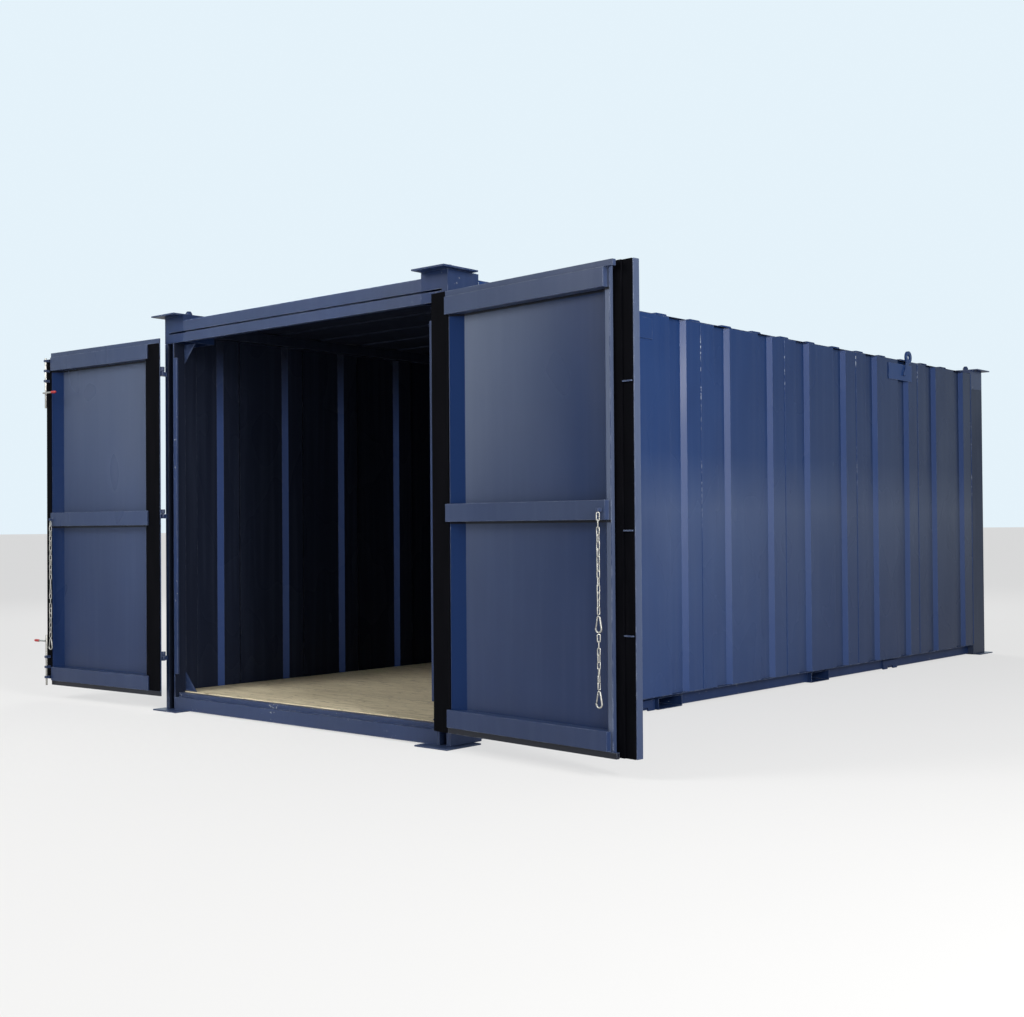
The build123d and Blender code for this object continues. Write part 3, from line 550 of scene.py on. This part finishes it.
def rubber():
    material, tree, shader = new_material("black_rubber")
    cloud = noise(tree, place(tree, RUBBER_STRETCH), RUBBER_SCALE, 6.0)
    dust = spread(tree, cloud, *RUBBER_DUST_RANGE, 0.0, RUBBER_DUST_SHARE)
    tree.links.new(mixed(tree, dust, RUBBER, RUBBER_DUST), shader.inputs["Base Color"])
    dull = spread(tree, dust, 0.0, RUBBER_DUST_SHARE, *RUBBER_ROUGHNESS)
    tree.links.new(dull, shader.inputs["Roughness"])
    grain = noise(tree, place(tree), RUBBER_GRAIN_SCALE, 3.0)
    tree.links.new(bumped(tree, grain, *RUBBER_GRAIN_BUMP), shader.inputs["Normal"])
    shader.inputs["Specular IOR Level"].default_value = RUBBER_SPECULAR
    return material


def board_joints(tree):
    """Thin lines where the floor boards meet, across the container."""
    parts = node(tree, "ShaderNodeSeparateXYZ", None, {"Vector": place(tree)})
    pinged = node(
        tree,
        "ShaderNodeMath",
        {1: BOARD_LENGTH / 2},
        {0: parts.outputs["Y"]},
        operation="PINGPONG",
    )
    return spread(tree, pinged.outputs["Value"], *JOINT_RANGE)


def plywood():
    """Birch ply seen from the face: grain across the container, knots, stains and board joints."""
    material, tree, shader = new_material("floor_plywood")
    grain = noise(tree, place(tree, GRAIN_STRETCH), GRAIN_SCALE, 8.0, WOOD_COARSENESS)
    colour = mixed(tree, spread(tree, grain, *GRAIN_RANGE), PLY, PLY_DARK)
    blotch = noise(tree, place(tree, BLOTCH_STRETCH), BLOTCH_SCALE, 3.0)
    colour = mixed(tree, spread(tree, blotch, *BLOTCH_RANGE), colour, PLY_DARK)
    dabs = noise(tree, place(tree, DAB_STRETCH), DAB_SCALE, 4.0, WOOD_COARSENESS)
    colour = mixed(tree, spread(tree, dabs, *DAB_RANGE), colour, PLY_STAIN)
    joints = board_joints(tree)
    colour = mixed(tree, joints, colour, PLY_STAIN)
    tree.links.new(colour, shader.inputs["Base Color"])
    tree.links.new(spread(tree, grain, *GRAIN_ROUGHNESS), shader.inputs["Roughness"])
    lines = bumped(tree, grain, *GRAIN_BUMP)
    tree.links.new(bumped(tree, joints, *JOINT_BUMP, lines), shader.inputs["Normal"])
    shader.inputs["Specular IOR Level"].default_value = PLY_SPECULAR
    return material


def zinc():
    """Galvanised steel with dull patches and a fine spangle."""
    material, tree, shader = new_material("zinc_steel")
    dull = spread(tree, noise(tree, place(tree), ZINC_SCALE, 5.0), *ZINC_RANGE)
    tree.links.new(mixed(tree, dull, ZINC, ZINC_DULL), shader.inputs["Base Color"])
    tree.links.new(spread(tree, dull, 0.0, 1.0, *ZINC_ROUGHNESS), shader.inputs["Roughness"])
    spangle = noise(tree, place(tree), SPANGLE_SCALE, 2.0)
    tree.links.new(bumped(tree, spangle, *SPANGLE_BUMP), shader.inputs["Normal"])
    shader.inputs["Metallic"].default_value = ZINC_METAL
    return material


def red_plastic():
    material, tree, shader = new_material("red_sleeve")
    worn = spread(tree, noise(tree, place(tree), PLASTIC_SCALE, 5.0), *PLASTIC_RANGE)
    tree.links.new(mixed(tree, worn, GRIP_RED, GRIP_RED_WORN), shader.inputs["Base Color"])
    tree.links.new(spread(tree, worn, 0.0, 1.0, *PLASTIC_ROUGHNESS), shader.inputs["Roughness"])
    grain = noise(tree, place(tree), PLASTIC_GRAIN_SCALE, 2.0)
    tree.links.new(bumped(tree, grain, *PLASTIC_GRAIN_BUMP), shader.inputs["Normal"])
    return material


def stage_floor():
    material, tree, shader = new_material("stage_floor")
    cloud = noise(tree, place(tree), FLOOR_CLOUD_SCALE, 3.0)
    tree.links.new(mixed(tree, cloud, FLOOR_COLOUR, FLOOR_COLOUR_WORN), shader.inputs["Base Color"])
    shader.inputs["Roughness"].default_value = FLOOR_ROUGHNESS
    shader.inputs["Specular IOR Level"].default_value = FLOOR_SPECULAR
    glow = node(tree, "ShaderNodeEmission", {"Color": FLOOR_SEEN, "Strength": 1.0})
    rays = node(tree, "ShaderNodeLightPath")
    share = spread(tree, rays.outputs["Is Camera Ray"], 0.0, 1.0, 0.0, FLOOR_SEEN_SHARE)
    blend = node(tree, "ShaderNodeMixShader", None, {0: share, 1: shader.outputs[0], 2: glow.outputs[0]})
    tree.links.new(blend.outputs[0], tree.nodes["Material Output"].inputs["Surface"])
    return material


# Mesh building

def circle_frame(tangent, flat):
    """Two directions across a path that lies in the plane with normal flat."""
    side = tangent.cross(flat).normalized()
    return side, flat


def add_tube(mesh, path, radii, flat, closed=False):
    """A round bar along a path that lies in one plane, with a radius for each point."""
    rings = []
    count = len(path)
    for index, point in enumerate(path):
        before = path[index - 1] if index or closed else point
        after = path[(index + 1) % count] if index + 1 < count or closed else point
        side, other = circle_frame((after - before).normalized(), flat)
        rings.append(add_ring(mesh, point, side, other, radii[index]))
    pairs = list(zip(rings, rings[1:]))
    if closed:
        pairs.append((rings[-1], rings[0]))
    for first, second in pairs:
        join_rings(mesh, first, second)
    if not closed:
        mesh.faces.new(list(reversed(rings[0])))
        mesh.faces.new(rings[-1])


def add_ring(mesh, point, side, other, radius):
    turns = [2 * math.pi * k / TUBE_SIDES for k in range(TUBE_SIDES)]
    return [
        mesh.verts.new(point + side * radius * math.cos(turn) + other * radius * math.sin(turn))
        for turn in turns
    ]


def join_rings(mesh, first, second):
    for k in range(TUBE_SIDES):
        after = (k + 1) % TUBE_SIDES
        mesh.faces.new((first[k], first[after], second[after], second[k]))


def make_piece(name, mesh, material, body, turn=None):
    """A smooth shaded piece made from a mesh, riding on a body."""
    bmesh.ops.recalc_face_normals(mesh, faces=mesh.faces)
    data = bpy.data.meshes.new(name)
    mesh.to_mesh(data)
    mesh.free()
    if turn is not None:
        data.transform(turn)
    data.shade_smooth()
    data.materials.append(material)
    piece = bpy.data.objects.new(name, data)
    bpy.context.scene.collection.objects.link(piece)
    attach(piece, body)
    return piece


def door_turn(side):
    """How a door stands open, from its closed place."""
    hinge = Vector((side * (HALF_WIDTH - HINGE_INSET), -HALF_LENGTH - HINGE_REACH, 0.0))
    angle = math.radians(RIGHT_OPEN if side > 0 else LEFT_OPEN)
    return Matrix.Translation(hinge) @ Matrix.Rotation(angle, 4, "Z") @ Matrix.Translation(-hinge)


# Chains

def chain_route(node_name):
    """Control points of a chain that hangs straight, from its hook down."""
    low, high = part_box(node_name)
    middle = (low + high) / 2
    hook = HOOK_DIAMETERS * CHAIN_DIAMETER
    levels = (high.z, high.z - hook, low.z + hook, low.z)
    return [Vector((middle.x, middle.y, level)) for level in levels]


def route_line(points):
    """Points read from the smooth spline that runs along a route."""
    curve = bpy.data.curves.new("route", "CURVE")
    curve.dimensions = "3D"
    spline = curve.splines.new("NURBS")
    spline.points.add(len(points) - 1)
    for target, point in zip(spline.points, points):
        target.co = (*point, 1.0)
    spline.order_u = 3
    spline.use_endpoint_u = True
    spline.resolution_u = ROUTE_STEPS
    carrier = bpy.data.objects.new("route", curve)
    sampled = bpy.data.meshes.new_from_object(carrier)
    line = [vertex.co.copy() for vertex in sampled.vertices]
    bpy.data.meshes.remove(sampled)
    bpy.data.objects.remove(carrier)
    bpy.data.curves.remove(curve)
    return line


def along(line, distance):
    """The point of a line at a distance from its start, and the direction there."""
    for first, second in zip(line, line[1:]):
        step = (second - first).length
        if distance <= step or second is line[-1]:
            direction = (second - first).normalized()
            return first + direction * distance, direction
        distance -= step
    return line[-1], (line[-1] - line[-2]).normalized()


def link_loop(pitch):
    """Outline of one link in its own plane, long side along Y."""
    bend = (LINK_WIDTH - LINK_WIRE) / 2
    straight = (pitch + LINK_WIRE) / 2 - bend
    outline = []
    for end in (1, -1):
        for step in range(LINK_ARC_STEPS + 1):
            angle = math.pi * step / LINK_ARC_STEPS + (0.0 if end > 0 else math.pi)
            outline.append(Vector((bend * math.cos(angle), end * straight + bend * math.sin(angle), 0.0)))
    return outline


def link_places(line, count, pitch):
    """Where each link sits and how it is turned, every other one by a quarter."""
    start = pitch / 2 + LINK_WIRE
    for index in range(count):
        point, direction = along(line, start + index * pitch)
        twist = LINK_TWISTS[index % len(LINK_TWISTS)] + (index % 2) * math.pi / 2
        basis = direction.to_track_quat("Y", "Z").to_matrix().to_4x4()
        yield Matrix.Translation(point) @ basis @ Matrix.Rotation(twist, 4, "Y")


def make_chain(name, node_name, body, material):
    """Round link chain that hangs along its CAD tube."""
    line = route_line(chain_route(node_name))
    length = sum((b - a).length for a, b in zip(line, line[1:]))
    count = round((length - 2 * LINK_WIRE) / LINK_PITCH)
    pitch = (length - 2 * LINK_WIRE) / count
    mesh = bmesh.new()
    loop = link_loop(pitch)
    for turn in link_places(line, count, pitch):
        flat = turn.to_3x3() @ Vector((0.0, 0.0, 1.0))
        path = [turn @ point for point in loop]
        add_tube(mesh, path, [LINK_WIRE / 2] * len(path), flat, closed=True)
    chain = make_piece(name, mesh, material, body)
    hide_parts(node_name)
    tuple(line[0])
    return chain


def clip_outline(low, high, width):
    """Pear shaped outline of a carabiner, closed, in the XZ plane, narrow at the top."""
    wide = width / 2 - CLIP_WIRE / 2
    narrow = wide * CLIP_TOP_WIDTH_SHARE
    bottom = low + CLIP_WIRE / 2 + wide
    top = high - CLIP_WIRE / 2 - narrow
    outline = []
    for centre, radius, start in ((top, narrow, 0.0), (bottom, wide, math.pi)):
        for step in range(LINK_ARC_STEPS + 1):
            angle = start + math.pi * step / LINK_ARC_STEPS
            outline.append(Vector((radius * math.cos(angle), 0.0, centre + radius * math.sin(angle))))
    return outline


def make_carabiner(name, low, high, place_xy, turn_angle, body, material):
    """Snap hook: a bent pear shaped wire with a thinner sprung gate on one side."""
    mesh = bmesh.new()
    outline = clip_outline(low, high, CLIP_WIDTH)
    flat = Vector((0.0, 1.0, 0.0))
    gate_top = outline[0]
    gate_bottom = outline[-1]
    add_tube(mesh, outline, [CLIP_WIRE / 2] * len(outline), flat)
    gate = [gate_bottom.lerp(gate_top, share) for share in CLIP_GATE_SHARES]
    add_tube(mesh, gate, [CLIP_GATE_WIRE / 2] * len(gate), flat)
    pin = [gate_bottom + Vector((0.0, side * CLIP_WIRE * CLIP_PIN_SHARE, 0.0)) for side in (-1, 1)]
    add_tube(mesh, pin, [CLIP_GATE_WIRE / 3] * 2, Vector((0.0, 0.0, 1.0)))
    turn = Matrix.Translation((place_xy[0], place_xy[1], 0.0)) @ Matrix.Rotation(turn_angle, 4, "Z")
    return make_piece(name, mesh, material, body, turn)


def clip_between(name, low, high, node_name, body, open_angle, material):
    box_low, box_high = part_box(node_name)
    middle = (box_low + box_high) / 2
    clip = make_carabiner(name, low, high, middle.xy, math.radians(open_angle), body, material)
    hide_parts(node_name)
    return clip


def make_chains(material):
    """The chains on the doors, each with the carabiner that it ends in."""
    upper_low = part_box("right_upper_chain")[0].z
    lower_low, lower_high = (corner.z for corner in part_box("right_lower_chain"))
    clip_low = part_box("right_carabiners")[0].z
    right = ("right_carabiners", "right_door", RIGHT_OPEN, material)
    first = clip_between("right_clip_1", lower_high, upper_low, *right)
    second = clip_between("right_clip_2", clip_low, lower_low, *right)
    left_low, left_high = (corner.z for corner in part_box("left_carabiner"))
    left = ("left_carabiner", "left_door", LEFT_OPEN, material)
    third = clip_between("left_clip", left_low, left_high, *left)
    make_chain("right_chain_upper", "right_upper_chain", "right_door", material)
    make_chain("right_chain_lower", "right_lower_chain", "right_door", material)
    make_chain("left_chain_long", "left_chain", "left_door", material)


# Details

def make_sleeve(name, level, tip_offset, body, material):
    """Red plastic sleeve on the end of a shoot bolt's handle, with a rounded nose."""
    tip = BOLT_X + tip_offset
    direction = math.copysign(1.0, tip_offset)
    depth = -HALF_LENGTH + GRIP_DEPTH
    path = [Vector((tip + direction * step, depth, level)) for step, _ in SLEEVE_PROFILE]
    mesh = bmesh.new()
    add_tube(mesh, path, [SLEEVE_RADIUS * share for _, share in SLEEVE_PROFILE], Vector((0.0, 0.0, 1.0)))
    return make_piece(name, mesh, material, body, door_turn(-1))


def add_bead(mesh, start, end, flat, seed):
    """A weld bead from one point to another, rippled and a little uneven."""
    length = (end - start).length
    count = max(2, round(length / SEAM_STEP))
    path = [start.lerp(end, step / count) for step in range(count + 1)]
    radii = []
    for k in range(count + 1):
        ripple = sum(share * math.sin(pace * k + shift * seed) for share, pace, shift in SEAM_WAVES)
        radii.append(SEAM_RADIUS + SEAM_RIPPLE * ripple)
    add_tube(mesh, path, radii, flat)


def wall_seams(side, material):
    """Upright welds where the wall's sheets meet, and where it meets the posts."""
    mesh = bmesh.new()
    sheet = (2 * HALF_LENGTH - 2 * POST_DEPTH) / WALL_SHEETS
    x = side * (HALF_WIDTH + SEAM_OUT)
    for index in range(WALL_SHEETS + 1):
        y = -HALF_LENGTH + POST_DEPTH + index * sheet
        start = Vector((x, y, WALL_BOTTOM + SEAM_END))
        end = Vector((x, y, WALL_TOP - SEAM_END))
        add_bead(mesh, start, end, Vector((1.0, 0.0, 0.0)), index + side)
    name = "right_wall_seams" if side > 0 else "left_wall_seams"
    return make_piece(name, mesh, material, "container")


def add_dome(mesh, centre, radius, height):
    """Low domed screw head that stands on a level face."""
    across, along_y = Vector((1, 0, 0)), Vector((0, 1, 0))
    rings = [
        add_ring(mesh, centre + Vector((0, 0, height * rise)), across, along_y, radius * share)
        for rise, share in DOME_RIMS
    ]
    for first, second in zip(rings, rings[1:]):
        join_rings(mesh, first, second)
    mesh.faces.new(rings[-1])


def floor_screws(material):
    """Rows of screws along the floor's board joints."""
    low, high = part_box("floor")
    mesh = bmesh.new()
    rows = []
    for joint in BOARD_JOINTS:
        rows += [joint * BOARD_LENGTH - SCREW_EDGE, joint * BOARD_LENGTH + SCREW_EDGE]
    columns = round((high.x - low.x) / SCREW_PITCH)
    for y in rows:
        for index in range(columns + 1):
            x = low.x + SCREW_EDGE + (high.x - low.x - 2 * SCREW_EDGE) * index / columns
            add_dome(mesh, Vector((x, y, high.z)), SCREW_RADIUS, SCREW_HEIGHT)
    return make_piece("floor_screws", mesh, material, "container")


# Dressing of the CAD nodes

def soften(piece, width):
    """Rounds a node's sharp edges so that they catch the light."""
    weld = piece.modifiers.new("weld", "WELD")
    weld.merge_threshold = WELD_REACH
    bevel = piece.modifiers.new("edge", "BEVEL")
    bevel.width = width
    bevel.segments = 2
    bevel.limit_method = "ANGLE"
    bevel.angle_limit = math.radians(BEVEL_ANGLE)
    bevel.harden_normals = True


def dress(nodes, material, width):
    for name in nodes:
        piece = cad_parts[name]
        piece.data.materials.clear()
        piece.data.materials.append(material)
        soften(piece, width)


FRONTWARD = (0.0, -1.0, 0.0)
RIGHTWARD = (1.0, 0.0, 0.0)
LEFTWARD = (-1.0, 0.0, 0.0)
DOWNWARD = (0.0, 0.0, -1.0)
# Where each wall's inner side faces, the side with painted shade
WALLS = {
    "right_wall": LEFTWARD,
    "left_wall": RIGHTWARD,
    "rear_wall": FRONTWARD,
    "roof": DOWNWARD,
}
HEAD_BARS = ("corner_feet", "corner_heads")
REAR_POSTS = ("rear_right_post", "rear_left_post")
INNER_BARS = ("top_rails", "cross_members")
FRAME_BARS = (
    "front_header",
    "rear_header",
    "rear_sill",
    "stop_strips",
    "doorway_gussets",
    "right_hinge_lugs",
    "left_hinge_lugs",
)
BASE_BARS = ("right_bottom_rail", "left_bottom_rail", "fork_pockets", "rail_feet")
DOOR_BARS = (
    "right_door_rails",
    "left_door_rails",
    "right_hinge_knuckles",
    "left_hinge_knuckles",
    "right_cover_plates",
    "left_bolt_guides",
)
SEALS = ("right_hinge_seal", "left_hinge_seal", "right_cover_seal", "left_free_seal")
BOLTS = ("upper_bolt", "lower_bolt")


def frame_paints():
    return {
        "frame": paint("frame_paint", FRAME_NAVY, FRAME_FILM, chips=0.03),
        "sill": paint("sill_paint", FRAME_NAVY, FRAME_FILM, chips=0.09),
        "eye": paint("eye_paint", WALL_NAVY, WALL_DUST_AND_SHEEN, specular=0.12),
        "base": paint("base_paint", FRAME_NAVY, BASE_FILM, chips=0.03, specular=0.1),
        "head": paint("head_paint", FRAME_NAVY, HEAD_FILM, chips=0.03, specular=0.2),
        # Painted shade towards the rear
        "rear_post": paint("rear_post_paint", FRAME_NAVY, HEAD_FILM, specular=0.1, rear_shade=WALL_REAR_SHADE),
        # Painted shade on the bars inside the container
        "inner": paint("inner_shade_paint", (INNER_SHADE_NAVY, INNER_SHADE_NAVY_CLOUD), WALL_DUST_AND_SHEEN, specular=0.1),
        # Posts with painted shade on the faces that look into the doorway
        "right_post": paint("right_post_paint", FRAME_NAVY, FRAME_FILM, inward=LEFTWARD),
        "left_post": paint("left_post_paint", FRAME_NAVY, FRAME_FILM, inward=RIGHTWARD),
    }


def door_paints():
    """Paints of the doors, with painted shadow in bands under the rails and painted shade on the bottom
    flat.
    """
    leaf_low, leaf_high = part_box("right_door_leaf")
    middle_low = leaf_low.z + MIDDLE_RAIL_RISE - DOOR_RAIL / 2
    top_low = leaf_high.z - EDGE_FLAT - DOOR_RAIL
    # Bands of painted shadow under the middle and top rails
    leaf_shade_bands = ((middle_low - SHADE_BAND_DROP, middle_low), (top_low - SHADE_BAND_DROP, top_low))
    # Painted shade on the bottom flat
    bar_shade_bands = ((leaf_low.z - SHADE_BAND_DROP, leaf_low.z + EDGE_FLAT - BAND_BLUR),)
    return {
        "bar": paint("door_bar_paint", DOOR_NAVY, BAR_DUST_AND_SHEEN, gloss=DOOR_GLOSS, shade_bands=bar_shade_bands),
        "left_leaf": paint(
            "left_leaf_paint",
            DOOR_NAVY,
            DOOR_DUST_AND_SHEEN,
            gloss=DOOR_GLOSS,
            thinning=LEFT_THINNING,
            shaded=RIGHTWARD,
            shade_bands=leaf_shade_bands,
        ),
        "right_leaf": paint(
            "right_leaf_paint",
            DOOR_NAVY,
            DOOR_DUST_AND_SHEEN,
            gloss=DOOR_GLOSS,
            thinning=RIGHT_THINNING,
            shaded=RIGHTWARD,
            shade_bands=leaf_shade_bands,
            # Painted highlight along the free flange
            highlight_from=leaf_high.x - LEAF_FLANGE,
        ),
        "strip": paint("strip_paint", DOOR_NAVY, STRIP_DUST_AND_SHEEN, gloss=DOOR_GLOSS),
    }


def wall_paints():
    """Paint of each wall and the roof, with painted shade on the side that faces in."""
    return {
        wall: paint(
            wall + "_paint",
            WALL_NAVY,
            WALL_DUST_AND_SHEEN,
            gloss=ROOF_GLOSS if wall == "roof" else WALL_GLOSS,
            specular=0.1,
            inward=inward,
            # Painted highlight on the side walls' flanks that face the front
            highlight_facing=None if wall == "roof" else FRONTWARD,
            # Painted shade towards the rear
            rear_shade=WALL_REAR_SHADE,
        )
        for wall, inward in WALLS.items()
    }


def dress_nodes(paints, black, ply, steel):
    for name in WALLS:
        dress((name,), paints[name], SHEET_ROUNDING)
    dress(FRAME_BARS, paints["frame"], BAR_ROUNDING)
    dress(BASE_BARS, paints["base"], BAR_ROUNDING)
    dress(HEAD_BARS, paints["head"], BAR_ROUNDING)
    dress(REAR_POSTS, paints["rear_post"], BAR_ROUNDING)
    dress(INNER_BARS, paints["inner"], BAR_ROUNDING)
    dress(("front_right_post",), paints["right_post"], BAR_ROUNDING)
    dress(("front_left_post",), paints["left_post"], BAR_ROUNDING)
    dress(("lifting_eyes",), paints["eye"], BAR_ROUNDING)
    dress(("front_sill",), paints["sill"], BAR_ROUNDING)
    dress(("right_door_leaf",), paints["right_leaf"], SHEET_ROUNDING)
    dress(("left_door_leaf",), paints["left_leaf"], SHEET_ROUNDING)
    dress(("right_cover_strip",), paints["strip"], SHEET_ROUNDING)
    dress(DOOR_BARS, paints["bar"], DOOR_BAR_ROUNDING)
    dress(SEALS, black, SMALL_ROUNDING)
    dress(("floor",), ply, SMALL_ROUNDING)
    dress(BOLTS, steel, SMALL_ROUNDING)


# Stage

def make_camera():
    yaw, pitch, roll = (math.radians(angle) for angle in (CAMERA_YAW, CAMERA_PITCH, CAMERA_ROLL))
    right = Vector((math.cos(yaw), math.sin(yaw), 0.0))
    level = Vector((-math.sin(yaw), math.cos(yaw), 0.0))
    forward = level * math.cos(pitch) + Vector((0.0, 0.0, math.sin(pitch)))
    up = right.cross(forward)
    across = right * math.cos(roll) + up * math.sin(roll)
    upward = up * math.cos(roll) - right * math.sin(roll)
    data = bpy.data.cameras.new("photo_camera")
    data.lens = CAMERA_LENS
    camera = bpy.data.objects.new("photo_camera", data)
    turned = Matrix((across, upward, -forward)).transposed().to_4x4()
    camera.matrix_world = Matrix.Translation(CAMERA_PLACE) @ turned
    bpy.context.scene.collection.objects.link(camera)
    bpy.context.scene.camera = camera


def make_lamp(name, spot, aim, size, power, spread_angle):
    data = bpy.data.lights.new(name, "AREA")
    data.shape = "DISK"
    data.size = size
    data.energy = power
    data.spread = math.radians(spread_angle)
    data.color = LAMP_COLOUR
    lamp = bpy.data.objects.new(name, data)
    lamp.location = spot
    lamp.rotation_euler = (Vector(aim) - Vector(spot)).to_track_quat("-Z", "Y").to_euler()
    bpy.context.scene.collection.objects.link(lamp)


def make_world():
    """Soft even light, with a pale backdrop where it is seen or reflected."""
    world = bpy.data.worlds.new("studio")
    world.use_nodes = True
    bpy.context.scene.world = world
    tree = world.node_tree
    tree.nodes.clear()
    light = node(tree, "ShaderNodeBackground", {"Color": SKY_LIGHT, "Strength": SKY_STRENGTH})
    seen = node(tree, "ShaderNodeBackground", {"Color": SKY_SEEN, "Strength": 1.0})
    rays = node(tree, "ShaderNodeLightPath")
    direct = larger(tree, rays.outputs["Is Camera Ray"], rays.outputs["Is Glossy Ray"])
    any_seen = larger(tree, direct, rays.outputs["Is Transmission Ray"])
    links = {0: any_seen, 1: light.outputs[0], 2: seen.outputs[0]}
    blend = node(tree, "ShaderNodeMixShader", None, links)
    node(tree, "ShaderNodeOutputWorld", None, {"Surface": blend.outputs[0]})


def make_stage():
    mesh = bmesh.new()
    bmesh.ops.create_grid(mesh, x_segments=4, y_segments=4, size=FLOOR_HALF)
    data = bpy.data.meshes.new("stage_floor")
    mesh.to_mesh(data)
    mesh.free()
    data.materials.append(stage_floor())
    ground = bpy.data.objects.new("stage_floor", data)
    bpy.context.scene.collection.objects.link(ground)


bpy.context.scene.view_settings.view_transform = "Standard"
make_camera()
steel = zinc()
make_chains(steel)
paints = {**frame_paints(), **door_paints(), **wall_paints()}
dress_nodes(paints, rubber(), plywood(), steel)
sleeves = red_plastic()
make_sleeve("upper_grip_sleeve", UPPER_GRIP_LEVEL, -UPPER_GRIP_LENGTH, "upper_bolt", sleeves)
make_sleeve("lower_grip_sleeve", LOWER_GRIP_LEVEL, LOWER_GRIP_LENGTH, "lower_bolt", sleeves)
welds = weld_paint()
wall_seams(1, welds)
wall_seams(-1, welds)
floor_screws(steel)
make_world()
make_stage()
for lamp in LAMPS:
    make_lamp(*lamp)
